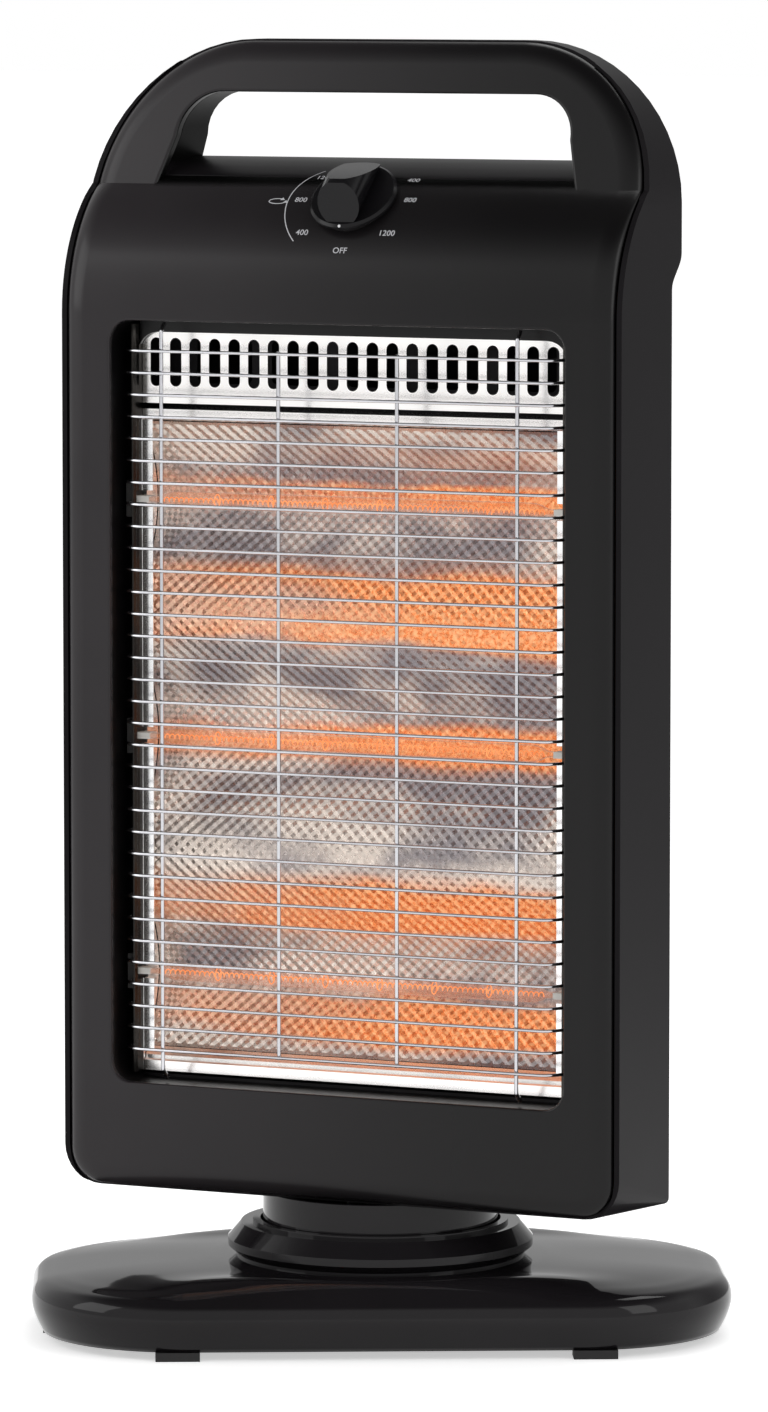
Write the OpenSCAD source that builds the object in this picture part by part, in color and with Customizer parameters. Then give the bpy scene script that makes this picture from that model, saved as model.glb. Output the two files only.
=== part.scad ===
// Halogen heater. An upright head with three lamp tubes behind a wire grille stands on a round
// neck, which swings on a wide domed base. Millimetres, +Z up. The origin is on the floor under
// the swing axis, and the head faces -Y. The base is drawn turned under the head, because the
// swing is part of the way round.

/* [Overall] */
// Height from the floor to the top of the handle
total_h = 590; // [570:1:620]
// Width of the head
head_w = 278; // [270:1:300]
// Height of the head's underside above the floor
head_z = 65; // [65:0.5:72]
// Distance from the swing axis forward to the head's front face
front_d = 50; // [48:0.5:54]
// Depth of the side walls
side_d = 61; // [58:0.5:66]
// Depth of the upper part, from the front face to the handle's back
top_d = 72; // [70:0.5:78]
// Depth of the rear cover behind the front face
cover_d = 100; // [94:1:108]

/* [Casing] */
// Wall of the moulded casing
wall = 2.5; // [2:0.1:3]
// Radius of the curved brow under the handle
brow_r = 70; // [66:1:74]
// Lean of the handle's front face from upright, in degrees
lean = 20; // [16:1:24]
// Depth of the handle's front edge at the very top
grip_t = 55; // [52:0.5:58]
// Height of the grip
grip_h = 24; // [20:0.5:28]
// Height of the hand gap above the brow
hand_gap = 30; // [26:0.5:34]
// Width of the handle's posts at the bottom of the hand gap
post_low = 35; // [29:1:41]
// Width of the handle's posts at the top of the hand gap
post_high = 41; // [41:1:47]
// Radius of the handle's outer corners
arch_r = 72; // [60:1:80]
// Radius of the front panel's lower corners
corner_r = 16; // [12:1:22]
// Height of the step in the back edge, below the brow's top
notch_drop = 57; // [50:1:60]
// Height of that step's slope
notch_h = 16; // [10:1:20]
// How far the front panel stands in from the casing's sides
panel_inset = 3.4; // [3:0.1:5]
// How far the front panel stands in from the casing's top and bottom
panel_drop = 0.8; // [0.5:0.1:3]
// Radius of the casing's lower corners at the back
back_r = 3; // [1:0.5:8]
// How far the rear shell's edge stands back from the front face
edge_back = 4; // [1:0.1:4]
// Depth of the front panel's return edge
return_d = 5; // [4:0.1:8]
// Gap between neighbouring mouldings
gap = 0.5; // [0.3:0.1:0.8]

/* [Window] */
// Width of the frame on each side of the window
frame_w = 26; // [25:0.5:31]
// Height of the panel below the window
sill_h = 49; // [44:1:60]
// Height of the flat panel between the window and the brow
lintel_h = 3; // [2:0.5:10]
// Radius of the window's corners
win_r = 10; // [6:0.5:14]
// Depth of the window's inner walls
tunnel_d = 23; // [22:0.5:26]

/* [Grille] */
// Spacing of the level wires
wire_pitch = 10; // [9:0.5:12]
// Diameter of the level wires
wire_d = 1.5; // [1.2:0.1:2]
// Diameter of the upright wires
upright_d = 2; // [1.6:0.1:2.4]
// Depth of the grille's front behind the front face
grille_t = 2.5; // [2:0.1:4]
// Radius of the bend at the level wires' ends
bend_r = 10; // [6:0.5:11]
// Height of the lip under the window's top wall
lip_h = 5.8; // [4:0.1:6.2]
// Thickness of that lip
lip_d = 2; // [1.5:0.1:2.5]
// Distance of the level wires' ends from the window's side walls
wire_inset = 4.2; // [3.6:0.1:4.3]
// Distance of the top and bottom level wires from the window's edge
wire_edge = 15; // [12:0.5:20]
// How far the outer upright wires run past the end level wires
upright_over = 9; // [6:0.5:10]
// Distance of the inner upright wires from the middle
inner_x = 29.5; // [25:0.5:34]
// Distance of the outer upright wires from the middle
outer_x = 88.5; // [80:0.5:92]

/* [Reflector] */
// Thickness of the sheet steel
sheet = 0.8; // [0.6:0.1:1]
// Distance of the side plates from the window's side walls
plate_inset = 6; // [5.8:0.1:7]
// Depth of the folds in the side plates
fold_d = 0.7; // [0.4:0.1:0.9]
// Width of the plain strip beside the embossed sheet
strip_w = 6; // [4:0.5:8]
// Depth of the side plates' front edge
plate_t0 = 12.5; // [11:0.5:14]
// Depth of the plain strips and plates behind the front face
strip_t = 20.2; // [19:0.1:21]
// Height of the embossed sheet's lower edge above the window's
sheet_low = 14; // [13:0.5:18]
// Height of the embossed sheet's upper edge below the window's
sheet_top = 47; // [45:0.5:52]
// Depth of the troughs behind their ridges
trough_d = 15; // [12:0.5:17]
// Number of lamps and troughs
lamp_n = 3; // [2:1:4]
// Depth of the sheet steel tray's back
tray_d = 45; // [43:0.5:47]
// Height of the slotted plate at the top
vent_h = 36.8; // [34:0.1:38]
// Width of one slot
slot_w = 5.8; // [4:0.1:6.5]
// Height of one slot
slot_h = 22.3; // [14:0.1:24]
// Spacing of the slots
slot_pitch = 9.9; // [9:0.1:12]
// Height of the slots' middle below the slotted plate's top
slot_drop = 18; // [17.5:0.1:19]
// Height of the dark gap below the slotted plate
vent_gap = 2.7; // [1:0.1:4]

/* [Lamps] */
// Diameter of the lamp's glass tube
tube_d = 8; // [7:0.5:9]
// Wall of the glass tube
glass_t = 1; // [0.8:0.1:1.2]
// Depth of the lamps behind the front face
lamp_t = 20; // [19:0.5:21]
// Height of the lamp's flat end cap
cap_h = 2.8; // [2:0.1:4]
// Depth of the lamp's flat end cap
cap_w = 7.4; // [6:0.1:8]

/* [Knob] */
// Lean of the knob's axis above level, in degrees
knob_tilt = 48; // [44:1:52]
// Diameter of the knob's skirt
skirt_d = 41; // [36:0.5:44]
// Thickness of the skirt
skirt_h = 3; // [2.6:0.1:5]
// Width of the knob's bar
bar_w = 20.5; // [14:0.5:22]
// Height of the knob above the panel
knob_h = 21; // [19:0.5:24]
// Diameter of the switch's shaft
shaft_d = 6; // [5:0.1:8]

/* [Neck] */
// Outer radius of the neck
neck_r = 54; // [50:0.5:56]
// Outer radius of the fixed pivot post
post_r = 10; // [9:0.1:11]
// Radial running clearance of the post in its hub
run_gap = 0.06; // [0.03:0.01:0.1]
// Gap between moving faces
move_gap = 0.3; // [0.2:0.05:0.5]
// Outer radius of the collar on the base
collar_r = 70; // [68:0.5:74]
// Height of the collar's top edge above the floor
collar_z = 50; // [48:0.5:52]

/* [Base] */
// Turn of the base under the head, in degrees
base_turn = 27; // [0:1:35]
// Half width of the base
base_x = 160; // [150:1:175]
// Half depth of the base
base_y = 90; // [88:1:100]
// Corner radius of the base
base_r = 70; // [60:1:80]
// Height of the base's top
base_h = 35; // [35:0.5:38]
// Height of the feet
foot_h = 4; // [3:0.5:6]
// How far the base's lower edge is tucked in
tuck = 5; // [3:0.5:8]
// Thickness of the bottom plate
plate_t = 2; // [1.5:0.1:2.5]

/* [Swing drive] */
// Half of the swing's angle, in degrees
swing = 35; // [25:1:35]
// Distance of the motor's axis from the swing axis
motor_e = 40; // [39:0.5:44]
// Radius of the swing motor
motor_r = 24; // [20:0.5:25]
// Height of the swing motor
motor_h = 14; // [12:0.5:15]
// Radius of the crank pin
pin_r = 2.5; // [2:0.1:3]
// Side clearance of the crank pin in its slot
pin_gap = 1.8; // [1.7:0.1:2]

/* [Hidden] */
$fn = 48;

// Levels of the head
y0 = -front_d;
half_w = head_w / 2;
grip_z = total_h - grip_h;
brow_top = grip_z - hand_gap;
brow_z = brow_top - brow_r;
notch_z = brow_top - notch_drop;
win_z0 = head_z + sill_h;
win_z1 = brow_z - lintel_h;
win_x = half_w - frame_w;
gap_low = half_w - post_low;
gap_high = half_w - post_high;
lean_m = tan(lean);
arc_n = 14;
over = 1;

// Grille
wire_z0 = win_z0 + wire_edge + wire_d / 2;
wire_z1 = win_z1 - wire_edge + wire_d / 2;
wire_x = win_x - wire_inset;
wire_n = floor((wire_z1 - wire_z0) / wire_pitch + 0.2);
wire_low = (wire_z0 + wire_z1 - wire_n * wire_pitch) / 2;
wire_top = wire_low + wire_n * wire_pitch;
wire_end = plate_t0 + 1;
upright_t = grille_t + wire_d / 2 + upright_d / 2 + 0.05;

// Reflector tray and the plates in it
tray_t = tunnel_d + gap;
tray_x = win_x - gap;
tray_z0 = win_z0 + gap;
tray_z1 = win_z1 - gap;
tray_r = 3;
rim_w = 5;
fit = 0.3;
plate_x = win_x - plate_inset;
sheet_half = plate_x - fold_d - fit;
sheet_x = plate_x - strip_w;
low_z = tray_z0 + sheet + fit;
high_z = tray_z1 - sheet - fit;
back_t = tray_d - sheet - fit;
sheet_z0 = win_z0 + sheet_low;
sheet_z1 = win_z1 - sheet_top;
ridge_t = strip_t + sheet + fit;
vent_z = high_z - vent_h;
lip_t = strip_t - gap - lip_d;
end_cut = 19;
lamp_pitch = (sheet_z1 - sheet_z0 + 2 * end_cut) / lamp_n;
lamp_z = [for (k = [0 : lamp_n - 1]) sheet_z0 - end_cut + lamp_pitch * (k + 0.5)];
trough_n = 12;
holder_x0 = plate_x + sheet + fit;
holder_x1 = tray_x - sheet - fit;
cap_end = holder_x1 - 1;

// Knob axis: a point on the brow, and the axis leaning up from level
knob_y = y0 + brow_r - brow_r * cos(knob_tilt);
knob_z = brow_z + brow_r * sin(knob_tilt);
seat_h = 0.6;
shaft_hole_r = shaft_d / 2 + 0.6;
seam = 0.1;

// Base
plate_z = foot_h + plate_t;
base_cx = base_x - base_r;
base_cy = base_y - base_r;
top_z = base_h - wall;
hub_r = post_r + 6;
bore_r = post_r + run_gap;
base_hole_r = hub_r + 8;
arm_z = 27;
arm_t = 2.5;
ledge_t = 3.5;
washer_t = 1.5;
drum_z = base_h + ledge_t + washer_t + move_gap;
hub_top = drum_z + 16;
crank_r = motor_e * sin(swing);
slot_half = pin_r + pin_gap;
crank_z = plate_z + motor_h + 1;
crank_t = 3.5;
foot_w = 20;
foot_d = 12;
feet = [[94, 80], [-94, 80], [94, -80], [-94, -80], [base_x - 14, 0], [14 - base_x, 0]];
tip_x = -62;
tip_y = -36;
tip_r = 3.5;
grommet_z = 15;
cord_r = 3.5;
block_x = 58;
block_y = 40;

// Screw places
casing_at = [for (s = [-1, 1]) for (z = [head_z + 24, (win_z0 + win_z1) / 2, win_z1 + 1])
    [s * (win_x + 12), z]];
grip_at = [for (s = [-1, 1]) [s * (half_w - 21), brow_top + 6]];
ear_at = [for (s = [-1, 1]) for (z = [win_z0 + 50, win_z1 - 50]) [s * (win_x + 9), z]];
cover_x0 = win_x - 3;
cover_x1 = win_x - 25;
cover_z1 = win_z1 + 5;
cover_at = [for (s = [-1, 1]) for (z = [head_z + 60, (head_z + cover_z1) / 2, cover_z1 - 40])
    [s * (cover_x0 - 6), z]];
neck_at = [[neck_r - 10, 0], [10 - neck_r, 0], [26, -35], [-26, -35]];
collar_at = [for (a = [45 : 90 : 315]) [(collar_r - 10) * cos(a), (collar_r - 10) * sin(a)]];
base_at = [for (sx = [-1, 1]) for (sy = [-1, 1]) [sx * (base_x - 40), sy * (base_y - 32)]];
screw_r = 1.6;
boss_r = 4.5;
boss_end = 12;
seat_t = 30;
grip_seat = top_d - 12;
cover_seat = side_d + 6;
cover_screw_l = 14;
tray_screw_l = 8;
counter_r = 3.6;
lead_r = 1.1;
lead_pitch = 2.6;

// ---------------------------------------------------------------- outlines and helpers

// Points of an arc about c, from angle a0 to a1
function arc(c, r, a0, a1, n = arc_n) =
    [for (k = [0 : n]) let (a = a0 + (a1 - a0) * k / n) [c[0] + r * cos(a), c[1] + r * sin(a)]];

// The right half of an outline, with its mirror image added
function both(p) = concat(p, [for (k = [len(p) - 1 : -1 : 0]) [-p[k][0], p[k][1]]]);

// Height above the brow's centre where the handle's front line meets the brow, inset by i
function meet(i) = let (m = lean_m, q = grip_t + i / cos(lean) - brow_r - (total_h - brow_z) * m,
    r = brow_r - i) (-m * q + sqrt(m * m * q * q - (1 + m * m) * (q * q - r * r))) / (1 + m * m);

// Depth of the handle's front line at height z, inset by i
function grip_line(z, i) = grip_t + i / cos(lean) - (total_h - z) * lean_m;

// The front curve of the head, seen from the side: upright face, brow and leaning handle
function front_curve(i) = let (w = meet(i), x = grip_line(brow_z + w, i) - brow_r)
    concat([[y0 + i, head_z + i]], arc([y0 + brow_r, brow_z], brow_r - i, 180, atan2(w, x)),
    [[y0 + grip_line(total_h - i, i), total_h - i]]);

// Depth of the front curve at height z
function front_at(z) = z < brow_z ? 0 : z < brow_z + meet(0)
    ? brow_r - sqrt(brow_r * brow_r - (z - brow_z) * (z - brow_z)) : grip_line(z, 0);

// Depth at which the handle's screw bosses end, at height z
function grip_end(z) = front_at(z) + wall + 7;

// The back edge of the sides, with its soft step
function back_curve(i) = concat([[y0 + top_d - i, total_h - i]],
    [for (k = [8 : -1 : 0]) [y0 + side_d - i + (top_d - side_d) * (1 - cos(180 * k / 8)) / 2,
    notch_z + notch_h * k / 8]], [[y0 + side_d - i, head_z + i]]);

// The outline of the head seen from the side, inset by i
function side_profile(i) = concat(front_curve(i), back_curve(i));

// The outline of the head seen from the front, with lower corners of radius r. It is inset by i
// at the sides and by j at the top and bottom.
function front_outline(i, r, j) = both(concat(
    [for (q = arc([0, 0], 1, -90, 0, 8)) [half_w - i - r + r * q[0], head_z + j + r + r * q[1]]],
    [for (q = arc([0, 0], 1, 0, 90)) [half_w - arch_r + (arch_r - i) * q[0],
        total_h - arch_r + (arch_r - j) * q[1]]]));

// The hand gap seen from the front, grown by i
function hand_outline(i) = both(concat([[gap_low + i, brow_z], [gap_low + i, brow_top - 12]],
    arc([gap_high - 20, grip_z - 20], 20 + i, 0, 90, 8)));

// Everything under the brow seen from the side, inset by i
function brow_profile(i) = concat([[y0 + i - over, head_z - over], [y0 + i - over, brow_z]],
    arc([y0 + brow_r, brow_z], brow_r - i, 180, 90),
    [[y0 + top_d + over, brow_top - i], [y0 + top_d + over, head_z - over]]);

// A rectangle with round corners
function round_rect(x, z0, z1, r) = both(concat(
    arc([x - r, z0 + r], r, -90, 0, 6), arc([x - r, z1 - r], r, 0, 90, 6)));

// Extrude a side view across the head
module along_x(w) {
    translate([-w / 2, 0, 0]) rotate([90, 0, 90]) linear_extrude(w) children();
}

// Extrude a front view from depth t0 to depth t1 behind the front face
module along_y(t0, t1) {
    translate([0, y0 + t1, 0]) rotate([90, 0, 0]) linear_extrude(t1 - t0) children();
}

// A rod along Y from depth t0 to depth t1
module rod_y(x, z, r, t0, t1) {
    translate([x, y0 + t1, z]) rotate([90, 0, 0]) cylinder(r = r, h = t1 - t0, $fn = 24);
}

// A straight rod with round ends between two points
module rod(a, b, r) {
    d = b - a;
    l = norm(d);
    translate(a) rotate([0, acos(d[2] / l), atan2(d[1], d[0])]) cylinder(r = r, h = l, $fn = 16);
}

// A run of rods through the points p
module run(p, r) {
    for (k = [0 : len(p) - 2]) rod(p[k], p[k + 1], r);
    for (k = [1 : len(p) - 2]) translate(p[k]) sphere(r = 1.04 * r, $fn = 16);
}

// A pan head screw on +Z, its head resting on z = 0 and its shank going down
module screw(l, r = screw_r) {
    cylinder(r = r * 1.9, h = r * 1.1, $fn = 24);
    translate([0, 0, -l]) cylinder(r = r, h = l, $fn = 24);
}

// The same screw on the Y axis, its head facing the back at depth t
module screw_y(x, z, t, l) {
    translate([x, y0 + t, z]) rotate([-90, 0, 0]) screw(l);
}

// Place children on the knob's axis, +Z leaving the brow
module on_knob() {
    translate([0, knob_y, knob_z]) rotate([90 - knob_tilt, 0, 0]) children();
}

// Place children in the base's own turned frame
module on_base() {
    rotate([0, 0, base_turn]) children();
}

// ---------------------------------------------------------------- the casing

// The head as a solid: what is left of the outline's children, its side view inset by j and its
// hand gap grown by k
module head_solid(j, k) {
    difference() {
        intersection() {
            along_x(head_w) polygon(side_profile(j));
            children();
        }
        difference() {
            along_y(-2 * over, top_d + 2 * over) polygon(hand_outline(k));
            along_x(head_w) polygon(brow_profile(j));
        }
    }
}

// The outline of the front panel, inset by i
module panel_block(i) {
    along_y(-over, top_d + over)
        polygon(front_outline(panel_inset + i, corner_r - i, panel_drop + i));
}

// The outline of the casing, inset by i: its lower corners grow tighter towards the back
module casing_block(i) {
    r = corner_r + panel_inset;
    hull() {
        along_y(-over, edge_back) polygon(front_outline(i, r - i, i));
        along_y(side_d, top_d + over) polygon(front_outline(i, max(back_r - i, 0.5), i));
    }
}

// The space in front of the front curve moved back by d
module in_front(d) {
    c = front_curve(0);
    n = len(c);
    along_x(head_w + 2 * over) polygon(concat([[y0 - 9, head_z - 9]],
        [[c[0][0] + d, head_z - 9]], [for (k = [1 : n - 1]) [c[k][0] + d, c[k][1]]],
        [[c[n - 1][0] + d + 9 * lean_m, total_h + 9], [y0 - 9, total_h + 9]]));
}

module front_panel() {
    color("#2b292b") difference() {
        union() {
            intersection() {
                difference() {
                    head_solid(0, 0) panel_block(0);
                    head_solid(wall, wall) panel_block(wall);
                }
                in_front(return_d);
            }
            // screw bosses
            for (p = casing_at) rod_y(p[0], p[1], boss_r, front_at(p[1]) + wall / 2, boss_end);
            for (p = grip_at) rod_y(p[0], p[1], boss_r - 0.5, front_at(p[1]) + wall / 2, grip_end(p[1]));
            // flat seat for the knob
            intersection() {
                on_knob() translate([0, 0, -8]) cylinder(r = skirt_d / 2 - 3, h = 8 + seat_h);
                difference() {
                    on_knob() translate([0, 0, -4]) cylinder(r = skirt_d / 2, h = 5);
                    along_x(skirt_d + 1) polygon(side_profile(wall / 2));
                }
            }
        }
        along_y(-over, wall) polygon(round_rect(win_x, win_z0, win_z1, win_r));
        for (p = casing_at) rod_y(p[0], p[1], screw_r, wall + 1, boss_end + over);
        for (p = grip_at) rod_y(p[0], p[1], screw_r, front_at(p[1]) + wall + 1, grip_end(p[1]) + over);
        on_knob() translate([0, 0, -9]) cylinder(r = shaft_hole_r + 1.5, h = 12);
    }
}

// The inner frame behind the window's edge: its walls line the window and carry the tray
module window_frame() {
    t0 = wall + 0.1;
    flange = 4;
    color("#1b1a1c") difference() {
        union() {
            along_y(t0, tunnel_d) polygon(
                round_rect(win_x + wall, win_z0 - wall, win_z1 + wall, win_r + wall));
            along_y(t0, t0 + 2) polygon(
                round_rect(win_x + flange, win_z0 - flange, win_z1 + flange, win_r + flange));
            for (p = ear_at) {
                rod_y(p[0], p[1], 4, t0, tray_t - 0.1);
                translate([p[0] < 0 ? p[0] : win_x, y0 + t0, p[1] - 6])
                    cube([abs(p[0]) - win_x, 4, 12]);
            }
        }
        difference() {
            along_y(t0 - over, tunnel_d + over) polygon(round_rect(win_x, win_z0, win_z1, win_r));
            // the lip that hangs in front of the slotted plate's top edge
            difference() {
                translate([-sheet_half, y0 + lip_t, win_z1 - lip_h - win_r])
                    cube([2 * sheet_half, lip_d, lip_h + win_r + over]);
                along_y(lip_t - over, strip_t) polygon(
                    round_rect(sheet_half + over, win_z0, win_z1 - lip_h, win_r));
            }
        }
        for (p = ear_at) rod_y(p[0], p[1], screw_r, tunnel_d - 9, tray_t);
    }
}

// The walls of the rear half of the head, from height z0 to height z1
module rear_walls(z0, z1) {
    intersection() {
        translate([-half_w - over, y0 - over, z0])
            cube([head_w + 2 * over, top_d + 2 * over, z1 - z0]);
        difference() {
            head_solid(0, 0) casing_block(0);
            head_solid(wall, wall) casing_block(wall);
            in_front(edge_back);
            // room for the front panel
            intersection() {
                along_y(-over, top_d) polygon(
                    front_outline(panel_inset - gap, corner_r + gap, -over));
                in_front(return_d + gap);
            }
        }
    }
}

module rear_shell() {
    color("#3a383a") difference() {
        union() {
            difference() {
                rear_walls(head_z - over, notch_z);
                // opening at the back
                along_y(side_d - wall - over, side_d + over)
                    polygon(round_rect(cover_x0 - 12, head_z + 10, cover_z1 - 10, 8));
            }
            // screw columns from the back wall
            for (p = casing_at)
                rod_y(p[0], p[1], boss_r + 0.5, boss_end + move_gap, side_d - wall / 2);
            for (p = cover_at) rod_y(p[0], p[1], 4, side_d - 12, side_d - wall / 2);
        }
        for (p = casing_at) {
            rod_y(p[0], p[1], screw_r + 0.3, boss_end, side_d + over);
            rod_y(p[0], p[1], counter_r, seat_t, side_d + over);
        }
        for (p = cover_at) rod_y(p[0], p[1], screw_r, side_d - 13, side_d + over);
        // passage and screw holes in the floor
        translate([0, 0, head_z - over]) cylinder(r = hub_r + 1, h = wall + 2 * over);
        for (p = neck_at) translate([p[0], p[1], head_z - over])
            cylinder(r = screw_r + 0.3, h = wall + 2 * over, $fn = 24);
    }
}

// The back of the handle goes on from the shell at the step in the back edge
module handle_back() {
    color("#3a383a") difference() {
        union() {
            rear_walls(notch_z + seam, total_h + over);
            for (p = grip_at)
                rod_y(p[0], p[1], boss_r, grip_end(p[1]) + move_gap, top_d - wall / 2);
        }
        for (p = grip_at) {
            rod_y(p[0], p[1], screw_r + 0.3, grip_end(p[1]), top_d + over);
            rod_y(p[0], p[1], counter_r, grip_seat, top_d + over);
        }
    }
}

// The rear cover as a solid, inset by i: a box whose sides and top taper to the back
module cover_solid(i) {
    t0 = side_d + gap - (i > 0 ? over : 0);
    t1 = cover_d - i;
    intersection() {
        along_x(head_w) polygon([[y0 + t0, head_z + gap + i], [y0 + t1, head_z + gap + i],
            [y0 + t1, cover_z1 - 40 - i], [y0 + t0, cover_z1 - i]]);
        translate([0, 0, head_z]) linear_extrude(total_h - head_z) polygon([
            [-cover_x0 + i, y0 + t0], [-cover_x1 + i, y0 + t1],
            [cover_x1 - i, y0 + t1], [cover_x0 - i, y0 + t0]]);
    }
}

module rear_cover() {
    louvre_w = 50;
    color("#242224") difference() {
        union() {
            difference() {
                cover_solid(0);
                cover_solid(2);
            }
            for (p = cover_at) intersection() {
                rod_y(p[0], p[1], 4.5, side_d + gap, cover_d);
                cover_solid(0);
            }
        }
        // vents in the back
        for (c = [-1 : 1]) for (z = [cover_z1 - 60 : -10 : cover_z1 - 150])
            translate([c * 58 - louvre_w / 2, y0 + cover_d - 5, z]) cube([louvre_w, 8, 5]);
        for (c = [-1 : 1]) for (z = [head_z + 40 : 10 : head_z + 110])
            translate([c * 58 - louvre_w / 2, y0 + cover_d - 5, z]) cube([louvre_w, 8, 5]);
        for (p = cover_at) {
            rod_y(p[0], p[1], screw_r + 0.3, side_d, cover_d + over);
            rod_y(p[0], p[1], counter_r, cover_seat, cover_d + over);
        }
        // room for the neck
        translate([0, 0, head_z - over]) cylinder(r = hub_r + 1, h = 4);
    }
}

module casing_screws() {
    color("silver") {
        for (p = casing_at) screw_y(p[0], p[1], seat_t, seat_t - wall - 3);
        for (p = grip_at) screw_y(p[0], p[1], grip_seat, grip_seat - front_at(p[1]) - wall - 3);
    }
}

module cover_screws() {
    color("silver") for (p = cover_at) screw_y(p[0], p[1], cover_seat, cover_screw_l);
}

// ---------------------------------------------------------------- the grille

// Half of a level wire: straight, round the bend and back
module half_wire() {
    r = wire_d / 2;
    x = wire_x - bend_r;
    rotate([0, 90, 0]) cylinder(r = r, h = x + 0.01, $fn = 16);
    translate([x, bend_r, 0]) rotate([0, 0, -90])
        rotate_extrude(angle = 90, $fn = 48) translate([bend_r, 0]) circle(r = r, $fn = 16);
    translate([wire_x, bend_r - 0.01, 0]) rotate([-90, 0, 0])
        cylinder(r = r, h = wire_end - grille_t - bend_r, $fn = 16);
}

module grille_cross_wires() {
    color("#d8d8dc") for (k = [0 : wire_n]) translate([0, y0 + grille_t, wire_low + k * wire_pitch]) {
        half_wire();
        mirror([1, 0, 0]) half_wire();
    }
}

module grille_uprights() {
    r = upright_d / 2;
    y = y0 + upright_t;
    low = wire_low - upright_over;
    high = wire_top + upright_over;
    color("#d8d8dc") for (s = [-1, 1]) {
        // the outer ones slant back to the window's walls at both ends
        drop = low - win_z0 - r - fit;
        rise = min(win_z1 - high - r - fit, lip_t - upright_t - 1.5 * r - fit);
        run([[s * outer_x, y + drop, low - drop], [s * outer_x, y, low], [s * outer_x, y, high],
            [s * outer_x, y + rise, high + rise]], r);
        // the inner ones end at the first and last level wires
        translate([s * inner_x, y, wire_low - 1])
            cylinder(r = r, h = wire_top - wire_low + 2, $fn = 16);
    }
}

// ---------------------------------------------------------------- reflector and lamps

// A folded sheet: the points p as [depth, height], extruded over the width w
module folded(p, w) {
    n = len(p) - 1;
    along_x(w) for (k = [0 : n - 1]) let (a = p[k], b = p[k + 1], flat = abs(b[1] - a[1]) < 0.01)
        polygon([for (q = flat
            ? [a, b + [sheet, 0], b + [sheet, sheet], a + [0, sheet]]
            : [a, a + [sheet, 0], b + [sheet, 0], b]) [y0 + q[0], q[1]]]);
}

module reflector_tray() {
    color("#b8b8bc") difference() {
        union() {
            along_y(tray_t, tray_d) polygon(round_rect(tray_x, tray_z0, tray_z1, tray_r));
            // rim and ears behind the window's walls
            along_y(tray_t, tray_t + sheet) polygon(
                round_rect(tray_x + rim_w, tray_z0 - rim_w, tray_z1 + rim_w, tray_r + rim_w));
            for (p = ear_at) translate([min(p[0], sign(p[0]) * tray_x) - (p[0] < 0 ? 5 : 0),
                y0 + tray_t, p[1] - 6]) cube([abs(p[0]) - tray_x + 5, sheet, 12]);
        }
        along_y(tray_t - over, tray_d - sheet) polygon(
            round_rect(tray_x - sheet, tray_z0 + sheet, tray_z1 - sheet, tray_r - sheet));
        for (p = ear_at) rod_y(p[0], p[1], screw_r + 0.3, tunnel_d, tray_t + 3);
        // air slots in the back, level with the slotted plate
        for (k = [-2 : 2]) along_y(tray_d - 2, tray_d + over)
            polygon([for (q = round_rect(14, vent_z + 8, high_z - 8, 3)) q + [k * 38, 0]]);
    }
}

// Depth of the reflector at height z: one shallow trough behind each lamp
function trough(z) = ridge_t + trough_d * pow(cos(180 * (z - lamp_z[0]) / lamp_pitch), 2);

module reflector_back() {
    n = trough_n * lamp_n;
    front = [for (k = [0 : n]) let (z = sheet_z0 + (sheet_z1 - sheet_z0) * k / n)
        [y0 + trough(z), z]];
    back = [for (k = [n : -1 : 0]) front[k] + [sheet, 0]];
    color("#c9beb4") along_x(2 * sheet_half) polygon(concat(front, back));
}

module reflector_top() {
    n = floor((2 * sheet_x + 2) / slot_pitch / 2);
    mid = high_z - slot_drop;
    s = (slot_h - slot_w) / 2;
    color("#e6e4e2") difference() {
        folded([[strip_t, vent_z], [strip_t, high_z - sheet], [back_t - sheet, high_z - sheet]],
            2 * sheet_half);
        for (k = [-n : n]) along_y(strip_t - over, strip_t + 2) polygon(concat(
            arc([k * slot_pitch, mid + s], slot_w / 2, 0, 180, 8),
            arc([k * slot_pitch, mid - s], slot_w / 2, 180, 360, 8)));
    }
}

module reflector_ledge() {
    z1 = vent_z - vent_gap - sheet;
    color("#e6e4e2") folded([[trough(sheet_z1), sheet_z1 + fit], [strip_t, sheet_z1 + 2.5],
        [strip_t, z1], [back_t - sheet, z1]], 2 * sheet_half);
}

module reflector_bottom() {
    z = low_z + 1.5;
    d = (sheet_z0 - fit - z) / 6;
    color("#e6e4e2") folded([[trough(sheet_z0), sheet_z0 - fit], [strip_t + 1, z + 4 * d],
        [strip_t + 1.8, z + 3.4 * d], [strip_t, z + 2.6 * d], [strip_t, z],
        [back_t - sheet, z]], 2 * sheet_half);
}

module reflector_sides() {
    z0 = low_z + 1.2;
    h = high_z - z0 - 0.6;
    hole_h = cap_h + 4.8;
    hole_w = cap_w + 2;
    dip = 0.2;
    // the fold lines along the front part of the wall, and the strip that faces forward
    wave = [[0, 0], [-fold_d, 1.5], [-dip, 3], [-fold_d, 4.6], [-dip, 6],
        [-fold_d, strip_t - plate_t0]];
    color("#e6e4e2") for (s = [0, 1]) mirror([s, 0, 0]) difference() {
        union() {
            translate([plate_x, y0 + plate_t0, z0]) linear_extrude(h) polygon(concat(wave,
                [[-fold_d, back_t - plate_t0], [sheet, back_t - plate_t0], [sheet, 0]]));
            translate([sheet_x, y0 + strip_t, sheet_z0 - 1])
                cube([strip_w, sheet, sheet_z1 - sheet_z0 + 2]);
        }
        for (z = lamp_z) translate([sheet_x - over, y0 + lamp_t - hole_w / 2, z - hole_h / 2])
            cube([strip_w + sheet + 2 * over, hole_w, hole_h]);
    }
}

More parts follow.
